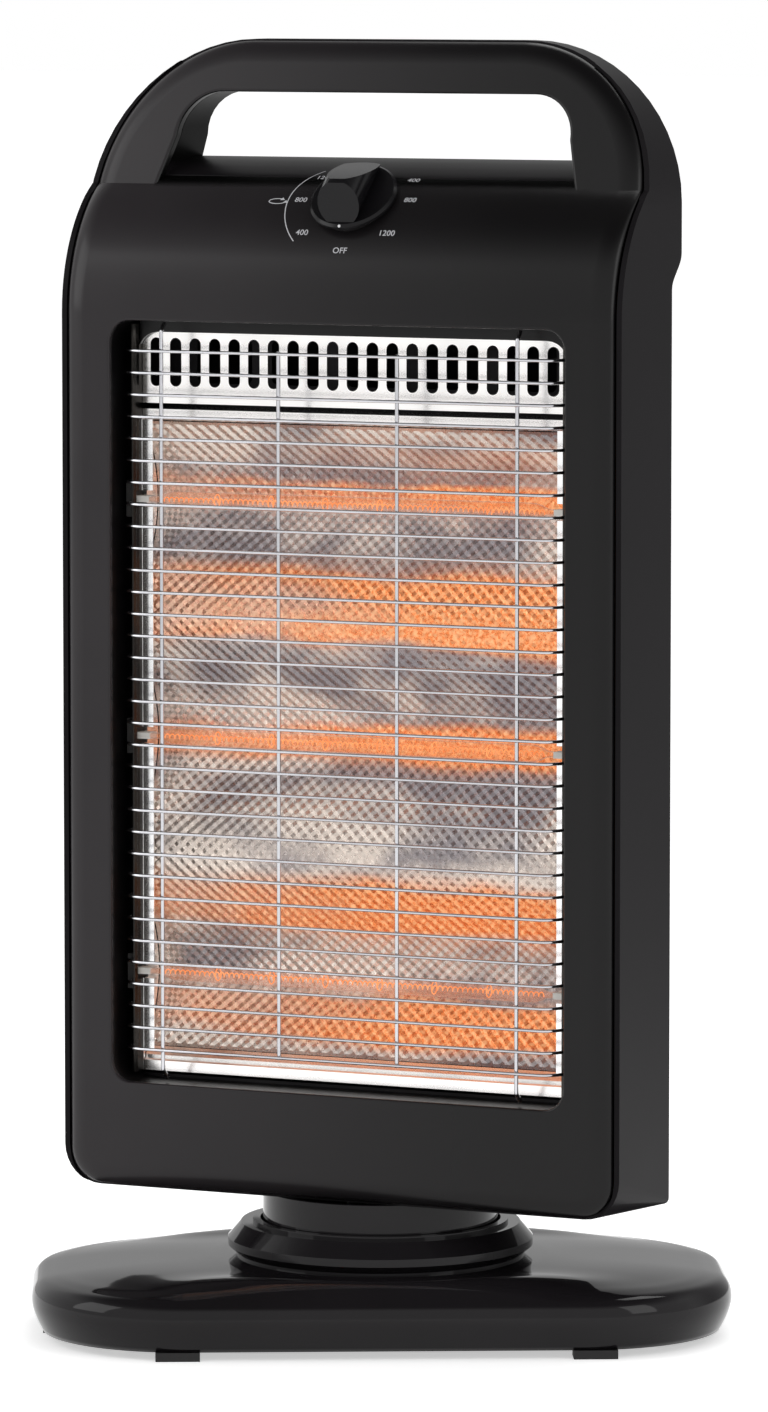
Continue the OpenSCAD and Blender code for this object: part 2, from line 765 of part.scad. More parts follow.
module tray_screws() {
    color("silver") for (p = ear_at) screw_y(p[0], p[1], tray_t + sheet, tray_screw_l);
}

module lamp_tubes() {
    l = 2 * sheet_x;
    color("#f4ead8") for (z = lamp_z) translate([-l / 2, y0 + lamp_t, z]) rotate([0, 90, 0])
        difference() {
            cylinder(d = tube_d, h = l);
            translate([0, 0, -over]) cylinder(d = tube_d - 2 * glass_t, h = l + 2 * over);
        }
}

module lamp_filaments() {
    l = 2 * sheet_x;
    color("#ff9a3c") for (z = lamp_z) translate([-l / 2, y0 + lamp_t, z]) rotate([0, 90, 0]) {
        cylinder(r = 1, h = l, $fn = 20);
        for (k = [1 : 6]) translate([0, 0, l * k / 7 - 0.4])
            cylinder(r = tube_d / 2 - glass_t - 0.1, h = 0.8, $fn = 20);
    }
}

module lamp_caps() {
    color("#f2efe8") for (z = lamp_z) for (s = [0, 1]) mirror([s, 0, 0])
        translate([sheet_x, y0 + lamp_t - cap_w / 2, z - cap_h / 2])
            cube([cap_end - sheet_x, cap_w, cap_h]);
}

module lamp_holders() {
    h = 16;
    t0 = wire_end + 0.6;
    color("#efeae0") for (z = lamp_z) for (s = [0, 1]) mirror([s, 0, 0]) difference() {
        translate([holder_x0, y0 + t0, z - h / 2])
            cube([holder_x1 - holder_x0, back_t - t0, h]);
        translate([holder_x0 - over, y0 + lamp_t - cap_w / 2 - 0.1, z - cap_h / 2 - 0.1])
            cube([cap_end + 0.1 - holder_x0 + over, cap_w + 0.2, cap_h + 0.2]);
    }
}

module thermal_cutout() {
    color("#8a7a62") translate([40, y0 + tray_d, lamp_z[lamp_n - 1]]) rotate([-90, 0, 0]) {
        cylinder(r = 8, h = 6);
        translate([-13, -4, 0]) cube([26, 8, 1]);
        for (s = [-1, 1]) translate([s * 4 - 0.4, -3, 5]) cube([0.8, 6, 4]);
    }
}

// ---------------------------------------------------------------- switch and knob

module rotary_switch() {
    color("#e4e0d4") on_knob() difference() {
        union() {
            translate([-15, -15, -wall - 22]) cube([30, 30, 18]);
            translate([0, 0, -wall - 5]) cylinder(r = 5, h = wall + 5);
            for (a = [0 : 45 : 315]) rotate([0, 0, a]) translate([9, -0.4, -wall - 28])
                cube([3, 0.8, 7]);
        }
        translate([0, 0, -wall - 12]) cylinder(r = shaft_d / 2 + run_gap, h = wall + 14);
    }
}

module switch_nut() {
    color("silver") on_knob() translate([0, 0, seat_h + 0.1]) difference() {
        cylinder(r = 8, h = 1.4, $fn = 6);
        translate([0, 0, -over]) cylinder(r = 5.05, h = 4);
    }
}

// Extrude a view from the side across the knob's bar, +X of the view pointing to OFF
module along_bar() {
    rotate([90, 0, -90]) translate([0, 0, -bar_w]) linear_extrude(2 * bar_w) children();
}

module knob() {
    base = seat_h + move_gap;
    top = knob_h;
    r = skirt_d / 2;
    mid = (top + base) / 2 + 0.4;
    tip_low = r - 2.5;
    tip_high = r - 11;
    color("#1a191b") on_knob() difference() {
        union() {
            rotate_extrude() polygon([[0, base], [r - 0.8, base], [r, base + 0.8],
                [r, base + skirt_h - 1], [r - 1.2, base + skirt_h], [0, base + skirt_h]]);
            // the bar: an oval end that points to OFF, and a top that falls away behind it
            intersection() {
                translate([0, 0, base + 1]) cylinder(r = r - 1.5, h = top - base);
                rotate([90, 0, 0]) translate([0, 0, -r]) linear_extrude(2 * r) polygon(
                    [for (a = [0 : 15 : 345]) [bar_w / 2 * cos(a), mid + (top - mid) * sin(a)]]);
                along_bar() polygon([[-r, base], [tip_low, base], [tip_low, base + 2.5],
                    [tip_high, top - 0.8], [tip_high - 2.5, top - 0.6], [-r, base + skirt_h + 1]]);
            }
        }
        // hollow under the skirt for the nut, and the bore for the shaft
        translate([0, 0, -over]) cylinder(r = 10, h = base + over + 1.6);
        translate([0, 0, -over]) cylinder(r = shaft_d / 2 + 0.02, h = 14);
    }
}

module knob_shaft() {
    color("#c9c4b4") on_knob() translate([0, 0, -wall - 11]) cylinder(d = shaft_d, h = wall + 23);
}

// ---------------------------------------------------------------- neck and swing drive

module neck_drum() {
    color("#1e1d1f") difference() {
        union() {
            rotate_extrude($fn = 96) polygon([[bore_r, arm_z + arm_t], [hub_r, arm_z + arm_t],
                [hub_r, drum_z], [neck_r, drum_z], [neck_r, head_z], [neck_r - 3, head_z],
                [neck_r - 3, drum_z + 3], [hub_r, drum_z + 3], [hub_r, hub_top],
                [bore_r, hub_top]]);
            for (p = neck_at) translate([p[0], p[1], drum_z + 1])
                cylinder(r = 5, h = head_z - drum_z - 1, $fn = 32);
        }
        for (p = neck_at) translate([p[0], p[1], head_z - 14])
            cylinder(r = screw_r, h = 15, $fn = 24);
        for (s = [-1, 1]) translate([s * (post_r + 3), 0, arm_z])
            cylinder(r = 1.2, h = 10, $fn = 24);
    }
}

// The head's own middle line points along +Y at rest, and the arm lies on it
module swing_arm() {
    far = motor_e + crank_r;
    near = motor_e - crank_r;
    color("#8d8d92") translate([0, 0, arm_z]) difference() {
        union() {
            cylinder(r = hub_r + 1, h = arm_t);
            translate([-slot_half - 4.5, 0, 0]) cube([2 * slot_half + 9, far, arm_t]);
            translate([0, far, 0]) cylinder(r = slot_half + 4.5, h = arm_t);
        }
        translate([0, 0, -over]) cylinder(r = post_r + 0.4, h = arm_t + 2 * over);
        translate([-slot_half, near, -over]) cube([2 * slot_half, far - near, arm_t + 2 * over]);
        for (y = [near, far]) translate([0, y, -over]) cylinder(r = slot_half, h = arm_t + 2 * over);
        for (s = [-1, 1]) translate([s * (post_r + 3), 0, -over])
            cylinder(r = 1.4, h = arm_t + 2 * over, $fn = 24);
    }
}

module arm_screws() {
    color("silver") for (s = [-1, 1]) translate([s * (post_r + 3), 0, arm_z])
        rotate([180, 0, 0]) screw(9, 1.2);
}

module neck_screws() {
    color("silver") for (p = neck_at) translate([p[0], p[1], head_z + wall]) screw(12);
}

module bearing_ring() {
    color("#e8e4da") translate([0, 0, base_h + ledge_t]) difference() {
        cylinder(r = neck_r, h = washer_t, $fn = 96);
        translate([0, 0, -over]) cylinder(r = neck_r - 6, h = washer_t + 2 * over, $fn = 96);
    }
}

module swivel_collar() {
    r = collar_r;
    i = neck_r + 1.2;
    color("#1e1d1f") difference() {
        rotate_extrude($fn = 96) polygon([[neck_r - 7, base_h], [r - 4, base_h],
            [r - 4, base_h + 1], [r, base_h + 4.5], [r, collar_z - 7], [r - 6, collar_z],
            [i + 3.5, collar_z], [i + 3.5, collar_z + 1.5], [i, collar_z + 1.5],
            [i, base_h + ledge_t], [neck_r - 7, base_h + ledge_t]]);
        for (p = collar_at) translate([p[0], p[1], base_h - over])
            cylinder(r = screw_r, h = 9, $fn = 24);
    }
}

module pivot_post() {
    color("#9a9a9e") on_base() difference() {
        union() {
            translate([0, 0, plate_z]) cylinder(r = post_r, h = hub_top + 6 - plate_z);
            translate([-22, -7, plate_z]) cube([44, 14, 3]);
        }
        translate([0, 0, plate_z - over]) cylinder(r = post_r - 3, h = hub_top + 8 - plate_z);
        for (s = [-1, 1]) translate([s * 17, 0, plate_z - over]) cylinder(r = screw_r, h = 5, $fn = 24);
        // side opening where the wires come in
        translate([4, -4.2, plate_z + 5.5]) cube([8, 8.4, 6]);
    }
}

module pivot_nut() {
    color("#8d8d92") on_base() translate([0, 0, hub_top + move_gap]) difference() {
        union() {
            cylinder(r = hub_r - 0.5, h = 1.2);
            translate([0, 0, 1.2]) cylinder(r = hub_r - 1.5, h = 3.5, $fn = 6);
        }
        translate([0, 0, -over]) cylinder(r = post_r + 0.04, h = 7);
    }
}

// Where the crank's pin stands: the head at rest is turned back by base_turn on the base
crank_turn = -3 * base_turn;

module crank_arm() {
    color("#d8cfa8") on_base() translate([0, motor_e, crank_z]) rotate([0, 0, crank_turn])
        difference() {
            union() {
                cylinder(r = 7, h = crank_t);
                translate([-5, 0, 0]) cube([10, crank_r, crank_t]);
                translate([0, crank_r, 0]) cylinder(r = 5, h = crank_t);
                translate([0, crank_r, 0]) cylinder(r = pin_r, h = arm_z + arm_t - fit - crank_z);
            }
            translate([0, 0, -over]) cylinder(r = 3.5 + run_gap, h = crank_t + 2 * over);
        }
}

module swing_motor() {
    color("#a9a9ad") on_base() translate([0, motor_e, plate_z]) {
        difference() {
            cylinder(r = motor_r, h = motor_h);
            translate([-12, motor_r - 5, 3]) cube([24, 9, motor_h - 5]);
        }
        cylinder(r = 3.5, h = motor_h + 1 + crank_t - 0.2);
        difference() {
            translate([-motor_r - 8, -5, 0]) cube([2 * motor_r + 16, 10, 1.2]);
            for (s = [-1, 1]) translate([s * (motor_r + 4), 0, -over])
                cylinder(r = screw_r + 0.2, h = 4, $fn = 24);
        }
    }
}

module motor_screws() {
    color("silver") on_base() {
        for (s = [-1, 1]) translate([s * (motor_r + 4), motor_e, plate_z + 1.2])
            screw(plate_t + 0.8);
        for (s = [-1, 1]) translate([s * 17, 0, plate_z + 3]) screw(plate_t + 2.6, screw_r - 0.05);
    }
}

// ---------------------------------------------------------------- base

// One round corner of the base, inset by i, ending at height z0
module base_puck(i, z0) {
    r = base_r - i;
    z = base_h - i;
    rotate_extrude($fn = 40) polygon([[0, z0], [r - tuck, z0], [r, 0.52 * base_h],
        [r - 1, z - 11.5], [r - 4, z - 8], [r - 10, z - 6], [r - 20, z - 4.5], [0, z - 4.5]]);
}

// The base as a solid: its four corners and the raised middle in one smooth skin
module base_solid(i, z0) {
    hull() {
        for (sx = [-1, 1]) for (sy = [-1, 1])
            translate([sx * base_cx, sy * base_cy, 0]) base_puck(i, z0);
        rotate_extrude($fn = 64) polygon([[0, z0], [base_y - 10 - i, z0],
            [base_y - 7 - i, base_h - 4 - i], [base_y - 11 - i, base_h - 1.2 - i],
            [base_y - 16 - i, base_h - i], [0, base_h - i]]);
    }
}

module base_shell() {
    color("#151416") on_base() difference() {
        union() {
            difference() {
                base_solid(0, foot_h);
                base_solid(wall, foot_h - over);
            }
            // screw columns
            for (p = base_at) translate([p[0], p[1], plate_z + 0.2])
                cylinder(r = 4.5, h = base_h - 7 - plate_z, $fn = 32);
            // seat of the cord's grommet
            intersection() {
                base_solid(1, foot_h);
                translate([-11, base_y - 14, plate_z + 0.2]) cube([22, 20, 18]);
            }
        }
        for (p = base_at) translate([p[0], p[1], foot_h]) cylinder(r = screw_r, h = 16, $fn = 24);
        translate([0, 0, top_z - over]) cylinder(r = base_hole_r, h = wall + 2 * over);
        for (p = collar_at) rotate([0, 0, -base_turn]) translate([p[0], p[1], top_z - over])
            cylinder(r = screw_r + 0.3, h = wall + 2 * over, $fn = 24);
        translate([0, base_y - 15, grommet_z]) rotate([-90, 0, 0]) {
            cylinder(r = 6.1, h = 20, $fn = 32);
            translate([0, 0, 9]) cylinder(r = 8.1, h = 12, $fn = 32);
        }
    }
}

module base_plate() {
    i = wall + tuck + gap;
    x = base_x - i;
    y = base_y - i;
    r = base_r - i;
    color("#3a3a3d") on_base() difference() {
        translate([0, 0, foot_h]) linear_extrude(plate_t) polygon(both(concat(
            arc([x - r, r - y], r, -90, 0), arc([x - r, y - r], r, 0, 90))));
        for (p = base_at) translate([p[0], p[1], foot_h - over])
            cylinder(r = screw_r + 0.3, h = 5, $fn = 24);
        for (s = [-1, 1]) translate([s * 17, 0, foot_h - over])
            cylinder(r = screw_r, h = 5, $fn = 24);
        for (s = [-1, 1]) translate([s * (motor_r + 4), motor_e, foot_h - over])
            cylinder(r = screw_r, h = 5, $fn = 24);
        for (p = feet) translate([foot_x(p), foot_y(p), foot_h - over])
            cylinder(r = 3, h = 5, $fn = 24);
        translate([tip_x, tip_y, foot_h - over]) cylinder(r = tip_r + 0.5, h = 5, $fn = 32);
    }
}

// A foot's stem stands a little inward of the foot's middle
function foot_x(p) = p[0] - (p[1] == 0 ? sign(p[0]) * 6 : 0);
function foot_y(p) = p[1] == 0 ? 0 : sign(p[1]) * (base_y - tuck - foot_d);

module rubber_feet() {
    y = base_y - tuck - foot_d / 2 + 1;
    color("#1c1b1d") on_base() for (p = feet) {
        translate([p[0], p[1] == 0 ? 0 : sign(p[1]) * y, foot_h / 2])
            cube(p[1] == 0 ? [foot_d + 6, foot_w, foot_h] : [foot_w, foot_d, foot_h], center = true);
        translate([foot_x(p), foot_y(p), foot_h - 0.5])
            cylinder(r = 2.8, h = plate_t + 2.3, $fn = 24);
    }
}

module base_screws() {
    color("silver") on_base() for (p = base_at) translate([p[0], p[1], foot_h])
        rotate([180, 0, 0]) screw(12);
}

module collar_screws() {
    color("silver") for (p = collar_at) translate([p[0], p[1], top_z])
        rotate([180, 0, 0]) screw(9);
}

module tip_switch() {
    color("#24408e") on_base() translate([tip_x, tip_y, plate_z]) difference() {
        translate([-11, -8, 0]) cube([22, 16, 19]);
        translate([0, 0, -over]) cylinder(r = tip_r + run_gap, h = 16);
    }
}

module tip_plunger() {
    color("#d6d6d2") on_base() translate([tip_x, tip_y, 0]) {
        cylinder(r = tip_r + 2, h = foot_h - 1);
        cylinder(r = tip_r, h = plate_z + 11);
    }
}

module terminal_block() {
    color("#e8e6de") on_base() translate([block_x, block_y, plate_z]) difference() {
        translate([-16, -8, 0]) cube([32, 16, 13]);
        for (k = [-1 : 1]) {
            translate([k * 10, 0, 6]) rotate([90, 0, 0]) cylinder(r = 2, h = 20, center = true);
            translate([k * 10, 0, 8]) cylinder(r = 2.4, h = 6);
        }
    }
}

module cord_grommet() {
    color("#1c1b1d") on_base() translate([0, base_y - 15, grommet_z]) rotate([-90, 0, 0])
        difference() {
            union() {
                translate([0, 0, -1]) cylinder(r = 6, h = 15, $fn = 32);
                translate([0, 0, 9]) cylinder(r = 8, h = 6.5, $fn = 32);
            }
            translate([0, 0, -2]) cylinder(r = cord_r, h = 20, $fn = 32);
        }
}

module base_wires() {
    z = plate_z + 6;
    color("#7a4a2a") on_base() for (k = [-1 : 1])
        run([[block_x + k * 10, block_y - 8.2, z], [block_x + k * 10, -k * lead_pitch, z + 2],
            [0, -k * lead_pitch, z + 2], [0, -k * lead_pitch, hub_top + 5]], lead_r);
}

module head_wires() {
    x = tray_x + 1.2;
    y = y0 + (tray_d + side_d - wall) / 2;
    z = head_z + wall + 8;
    // up from the post, across under the tray, up beside it and over to the switch
    color("#7a4a2a") for (k = [-1 : 1])
        run([[0, -k * lead_pitch, hub_top + 6], [0, -k * lead_pitch, z + 3 * k],
            [x - lead_pitch * k, y, z + 3 * k], [x - lead_pitch * k, y, brow_z + 8 - 3 * k],
            [8 - 4 * k, y, brow_z + 8 - 3 * k], [-4 * k, y - 3, knob_z - 30]], lead_r);
}

base_shell();
base_plate();
rubber_feet();
base_screws();
swivel_collar();
collar_screws();
bearing_ring();
pivot_post();
pivot_nut();
swing_motor();
motor_screws();
tip_switch();
tip_plunger();
terminal_block();
cord_grommet();
base_wires();
crank_arm();
swing_arm();
arm_screws();
neck_drum();
neck_screws();
front_panel();
window_frame();
rear_shell();
handle_back();
rear_cover();
casing_screws();
cover_screws();
grille_cross_wires();
grille_uprights();
reflector_tray();
reflector_back();
reflector_top();
reflector_ledge();
reflector_bottom();
reflector_sides();
tray_screws();
lamp_tubes();
lamp_filaments();
lamp_caps();
lamp_holders();
thermal_cutout();
rotary_switch();
switch_nut();
head_wires();
knob();
knob_shaft();
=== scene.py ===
# %% [markdown]
# # A halogen heater with a swinging head
# The real heater is a dark plastic head on a glossy domed base. A wire grille stands in front of
# an embossed reflector and three glowing lamps, and a dial sits on the curved brow under the
# handle. The measured solids are loaded first as a fixed frame. Each later cell either gives a
# solid a better surface or puts a finer piece in its place, in the same frame and in metres.

from math import cos, dist, pi, radians, sin, sqrt, tan

import bmesh
import bpy
import numpy as np
from mathutils import Matrix, Vector


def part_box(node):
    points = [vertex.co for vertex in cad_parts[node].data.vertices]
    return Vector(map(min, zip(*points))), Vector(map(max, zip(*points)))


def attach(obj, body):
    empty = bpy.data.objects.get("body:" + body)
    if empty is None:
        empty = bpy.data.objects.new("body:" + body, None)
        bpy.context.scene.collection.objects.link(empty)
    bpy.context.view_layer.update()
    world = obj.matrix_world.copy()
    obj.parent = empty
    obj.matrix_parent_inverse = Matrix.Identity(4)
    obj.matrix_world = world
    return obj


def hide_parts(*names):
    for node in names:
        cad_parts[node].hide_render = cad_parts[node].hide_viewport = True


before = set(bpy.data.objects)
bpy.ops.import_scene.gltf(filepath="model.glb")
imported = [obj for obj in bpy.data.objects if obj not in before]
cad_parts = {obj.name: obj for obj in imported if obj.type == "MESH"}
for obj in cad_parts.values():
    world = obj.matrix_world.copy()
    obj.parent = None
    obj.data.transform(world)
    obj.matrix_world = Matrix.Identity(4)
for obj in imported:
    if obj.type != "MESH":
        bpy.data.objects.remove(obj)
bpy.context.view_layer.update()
SCENE, MM = bpy.context.scene, 0.001


def placed(name, data):
    """A new object in the scene."""
    made = bpy.data.objects.new(name, data)
    SCENE.collection.objects.link(made)
    return made


# %% [markdown]
# ## The camera
# The photograph was taken from far away, a little to the right and a little above, so upright
# lines stay nearly parallel. A long lens at the same place gives the same flattening.

# %% Camera
AZIMUTH, ELEVATION, DISTANCE = radians(25), radians(5.6), 3.58
AIM = Vector((0.00145, 0.00068, 0.287))
level_share = cos(ELEVATION)
away = Vector(
    (sin(AZIMUTH) * level_share, -cos(AZIMUTH) * level_share, sin(ELEVATION))
)
lens = bpy.data.cameras.new("camera")
lens.sensor_fit, lens.sensor_height, lens.lens = "VERTICAL", 36, 200
camera = placed("camera", lens)
camera.location = AIM + DISTANCE * away
camera.rotation_euler = away.to_track_quat("Z", "Y").to_euler()
SCENE.camera = camera
print("camera stands at", [round(v, 3) for v in camera.location])

# %% [markdown]
# ## Writing shaders as sums
# A finish is a graph of nodes, but a formula is easier to read than a graph. The small class
# below wraps one socket. Each arithmetic sign adds one Math node, so `1 - mask` works as in
# plain Python, and `node` adds any other kind of node.


# %% Shader arithmetic
def new_node(tree, kind, sockets, out, settings):
    """A node's output. Each socket, by name or number, is set or linked to another output."""
    made = tree.nodes.new(kind)
    for key, value in settings.items():
        setattr(made, key, value)
    for key, value in sockets.items():
        value = getattr(value, "socket", value)
        if isinstance(value, bpy.types.NodeSocket):
            tree.links.new(value, made.inputs[key])
        else:
            made.inputs[key].default_value = value
    return made.outputs[out]


class Wire:
    """One output socket of the node tree in work."""

    tree = None

    def __init__(self, socket):
        self.socket = socket

    @classmethod
    def node(cls, kind, sockets, out=0, **settings):
        return cls(new_node(cls.tree, "ShaderNode" + kind, sockets, out, settings))

    @classmethod
    def maths(cls, operation, *values):
        return cls.node("Math", dict(enumerate(values)), operation=operation)

    def __add__(self, other):
        return Wire.maths("ADD", self, other)

    def __mul__(self, other):
        return Wire.maths("MULTIPLY", self, other)

    def __sub__(self, other):
        return Wire.maths("SUBTRACT", self, other)

    def __rsub__(self, other):
        return Wire.maths("SUBTRACT", other, self)

    __radd__, __rmul__ = __add__, __mul__

    def step(self, low, high):
        """0 below low, 1 above high, and a soft change between."""
        sockets = {0: self, 1: low, 2: high}
        return Wire.node("MapRange", sockets, interpolation_type="SMOOTHSTEP")

    def blend(self, first, second):
        """The first colour where this is 0 and the second where it is 1."""
        return Wire.node("Mix", {0: self, 6: first, 7: second}, 2, data_type="RGBA")


def rgb(code):
    """A colour of the screen, written as RRGGBB, as the shader's linear numbers."""
    parts = [int(code[k : k + 2], 16) / 255 for k in (0, 2, 4)]
    return (*[p / 12.92 if p < 0.04045 else ((p + 0.055) / 1.055) ** 2.4 for p in parts], 1.0)


print("a mid grey in linear numbers:", [round(v, 3) for v in rgb("808080")])

# %% [markdown]
# ## Kinds of finish
# Moulded plastic has a fine grain, a few slow waves and roughness that changes a little from
# place to place. Sheet metal has rolling lines along one direction. Each kind is a function, so
# every part can have its own colour and scale.


# %% Plastic and metal
def start(name, **constants):
    """A new material: constants go on the shader's own sockets."""
    made = bpy.data.materials.new(name)
    made.use_nodes = True
    Wire.tree = made.node_tree
    shader = made.node_tree.nodes["Principled BSDF"]
    for key, value in constants.items():
        shader.inputs[key.replace("_", " ")].default_value = value
    return made, shader


def join(shader, **wires):
    for key, value in wires.items():
        Wire.tree.links.new(value.socket, shader.inputs[key.replace("_", " ")])


def place(stretch=(1, 1, 1)):
    """Where a point lies on the object, in metres, with each axis stretched."""
    here = Wire.node("TexCoord", {}, 3)
    return Wire.node("Mapping", {"Vector": here, "Scale": stretch})


def along(axis):
    """How far a point is along one of the object's own axes, in metres."""
    here = Wire.node("TexCoord", {}, 3)
    return Wire.node("SeparateXYZ", {0: here}, "XYZ".index(axis))


def noise(where, size, detail=2.0):
    """Soft random patches of about the given size in metres."""
    return Wire.node("TexNoise", {"Vector": where, "Scale": 1 / size, "Detail": detail})


def bumps(height, depth):
    """A surface pushed out by height times depth, in metres."""
    return Wire.node("Bump", {"Height": height, "Distance": depth, "Strength": 1.0})


def scaled(colour, share):
    """A colour with its light times share."""
    return (*[min(1, c * share) for c in rgb(colour)[:3]], 1)


def plastic(name, colour, rough, grain=0.0008, depth=0.00001, vary=0.12, gloss=0.5, shade=None):
    made, shader = start(name, IOR=1.5, Specular_IOR_Level=gloss)
    fine, slow = noise(place(), grain, 3), noise(place(), 0.06)
    tint = slow.step(0.3, 0.7).blend(scaled(colour, 1 - vary), scaled(colour, 1 + vary))
    # An optional mask paints shade: the colour goes near black where the mask is 1.
    if shade is not None:
        tint = shade().blend(tint, rgb("040404"))
    rough = rough * (0.86 + 0.2 * slow + 0.12 * fine)
    join(shader, Base_Color=tint, Roughness=rough, Normal=bumps(fine, depth))
    return made


def metal(name, colour, rough, stretch, line, depth, vary=0.1, shade=None):
    made, shader = start(name, Metallic=1.0)
    lines, slow = noise(place(stretch), line, 3), noise(place(), 0.03)
    tint = slow.step(0.3, 0.7).blend(scaled(colour, 1 - vary), rgb(colour))
    # An optional mask paints a dark reflection over the metal's colour.
    if shade is not None:
        tint = shade().blend(tint, rgb("3a3836"))
    rough = rough * (0.8 + 0.4 * lines)
    join(shader, Base_Color=tint, Roughness=rough, Normal=bumps(lines, depth))
    return made


# The side plates' walls stand past WALL_X. The hand gap has a slanted wall below GRIP_HIGH and
# a rounded corner above it.
WALL_X, WALL_Y, WALL_Z = 0.106, -0.030, (0.418, 0.421)
GRIP_X, GRIP_LEAN, GRIP_LOW, GRIP_HIGH = 0.1047, 0.2752, 0.5242, 0.546
CORNER_X, CORNER_R = 0.078, 0.0206


def crossing(value, edge, soft):
    """0 below edge and 1 above it, with a change as wide as soft on each side."""
    return value.step(edge - soft, edge + soft)


def painted_shade_right():
    """Painted shade: the panel's colour goes darker towards its right, and black in the hand
    gap.
    """
    right = (along("X") + 0.12 * noise(place(), 0.25)).step(-0.1, 0.17)
    return Wire.maths("MAXIMUM", 0.85 * right, grip_shade_mask())


def painted_wall_reflection():
    """Mask of a painted reflection of the dark frame: 1 on the front of the side plates' walls,
    and up high.
    """
    bright = crossing(along("Y"), WALL_Y, 0.0002) * (1 - along("Z").step(*WALL_Z))
    return crossing(Wire.maths("ABSOLUTE", along("X")), WALL_X, 0.0002) * (1 - bright)


def grip_shade_mask(lowest=0.5215):
    """Mask of painted shade: 1 on the walls of the hand gap, below a slanted line or within a
    rounded corner.
    """
    x, z = Wire.maths("ABSOLUTE", along("X")), along("Z")
    slanted = crossing(GRIP_X - GRIP_LEAN * (z - GRIP_LOW) - x, 0, 0.0003)
    out, up = Wire.maths("MAXIMUM", x - CORNER_X, 0), Wire.maths("MAXIMUM", z - GRIP_HIGH, 0)
    rounded_off = 1 - crossing(Wire.maths("SQRT", out * out + up * up), CORNER_R, 0.0003)
    both = Wire.maths("MAXIMUM", slanted * (1 - crossing(z, GRIP_HIGH, 0.0004)), rounded_off)
    return both * z.step(lowest, lowest + 0.0045)


# The panel and the casing take painted shade on the walls of the hand gap.
FINISHES = {
    "panel": plastic("satin_panel", "2c292b", 0.23, 0.0006, 3.5e-6, 0.06, 0.22, painted_shade_right),
    "casing": plastic("satin_casing", "161416", 0.36, 0.0007, 6e-6, 0.1, 0.06,
                      lambda: grip_shade_mask(0.531)),
    "cover": plastic("grained_cover", "161516", 0.42, 0.0009, 3e-5, 0.12, 0.2),
    "gloss": plastic("polished_black", "191719", 0.07, 0.02, 2e-5, 0.12, 0.22),
    "knob": plastic("knob_black", "131214", 0.22, 0.0008, 4e-6, 0.12, 0.2),
    "frame": plastic("window_black", "0a090a", 0.3, 0.0006, 6e-6, 0.12, 0.25),
    "chrome": metal("bright_wire", "cbcbcf", 0.12, (1, 1, 1), 0.004, 4e-6),
    "bright": metal("bright_sheet", "fdfbf9", 0.22, (0.05, 1, 1), 0.0008, 6e-6),
    # Painted reflection: the side plates' walls are darkened where they would mirror the dark
    # frame.
    "sides": metal("side_sheet", "ffffff", 0.2, (1, 1, 0.05), 0.0008, 6e-6, 0.1, painted_wall_reflection),
    # Painted shade: the tray is near black so that what shows of it behind the reflector looks
    # shadowed.
    "tray": metal("dark_tray", "2c2b2c", 0.5, (1, 1, 1), 0.006, 1e-5, 0.25),
    "steel": metal("turned_steel", "b4b5b9", 0.3, (1, 1, 0.1), 0.0005, 1e-5),
    "screw": metal("zinc_screw", "a9a9a4", 0.34, (1, 1, 1), 0.001, 2e-5, 0.2),
    "plate": plastic("coated_plate", "17171a", 0.5, 0.0015, 6e-5),
    "rubber": plastic("foot_rubber", "141314", 0.7, 0.001, 3e-5),
    "ceramic": plastic("lamp_ceramic", "eceae4", 0.6, 0.0008, 2e-5, 0.05),
    "clay": plastic("dark_ceramic", "1c1a19", 0.6, 0.0008, 2e-5, 0.05),
    "acetal": plastic("natural_acetal", "e2dccb", 0.4, 0.001, 1e-5, 0.05),
    "blue": plastic("blue_moulding", "24408e", 0.4, 0.001, 1e-5),
    "brown": plastic("brown_moulding", "4a3a2c", 0.45, 0.001, 2e-5),
    "sleeve": plastic("woven_sleeve", "7a4a2a", 0.7, 0.0008, 0.0001, 0.25),
}
print("finishes:", ", ".join(FINISHES))

# %% [markdown]
# ## Finishes for the solids that stay
# Most inner parts keep their measured shape. Their own material slots take the new finish.

# %% Give each solid a finish
WORN_BY = {
    "bright": ["reflector_top", "reflector_ledge", "reflector_bottom"],
    "sides": ["reflector_sides"],
    "tray": ["reflector_tray"],
    "steel": ["pivot_post", "pivot_nut", "swing_arm", "swing_motor", "knob_shaft"],
    "screw": ["switch_nut"],
    "plate": ["base_plate"],
    "rubber": ["rubber_feet", "cord_grommet"],
    "ceramic": ["lamp_caps"],
    "clay": ["lamp_holders"],
    "acetal": ["bearing_ring", "crank_arm", "tip_plunger", "rotary_switch", "terminal_block"],
    "blue": ["tip_switch"],
    "brown": ["thermal_cutout"],
    "sleeve": ["base_wires", "head_wires"],
}
for finish, names in WORN_BY.items():
    for name in names:
        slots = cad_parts[name].data.materials
        slots.clear()
        slots.append(FINISHES[finish])
print("solids with a finish:", sum(len(names) for names in WORN_BY.values()))


# %% [markdown]
# ## Helpers for new pieces
# `piece` makes a mesh from points and faces, whose place is in its points. `finished` gives it
# its material and the body that it moves with.


# %% Mesh helpers
def piece(name, points, faces, smooth=True):
    mesh = bpy.data.meshes.new(name)
    mesh.from_pydata([tuple(p) for p in points], [], faces)
    mesh.update()
    for face in mesh.polygons:
        face.use_smooth = smooth
    return placed(name, mesh)


def finished(made, body, finish=None, replaces=()):
    if finish is not None:
        made.data.materials.clear()
        made.data.materials.append(finish)
    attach(made, body)
    if replaces:
        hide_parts(*replaces)
    print(made.name, len(made.data.polygons), "faces")


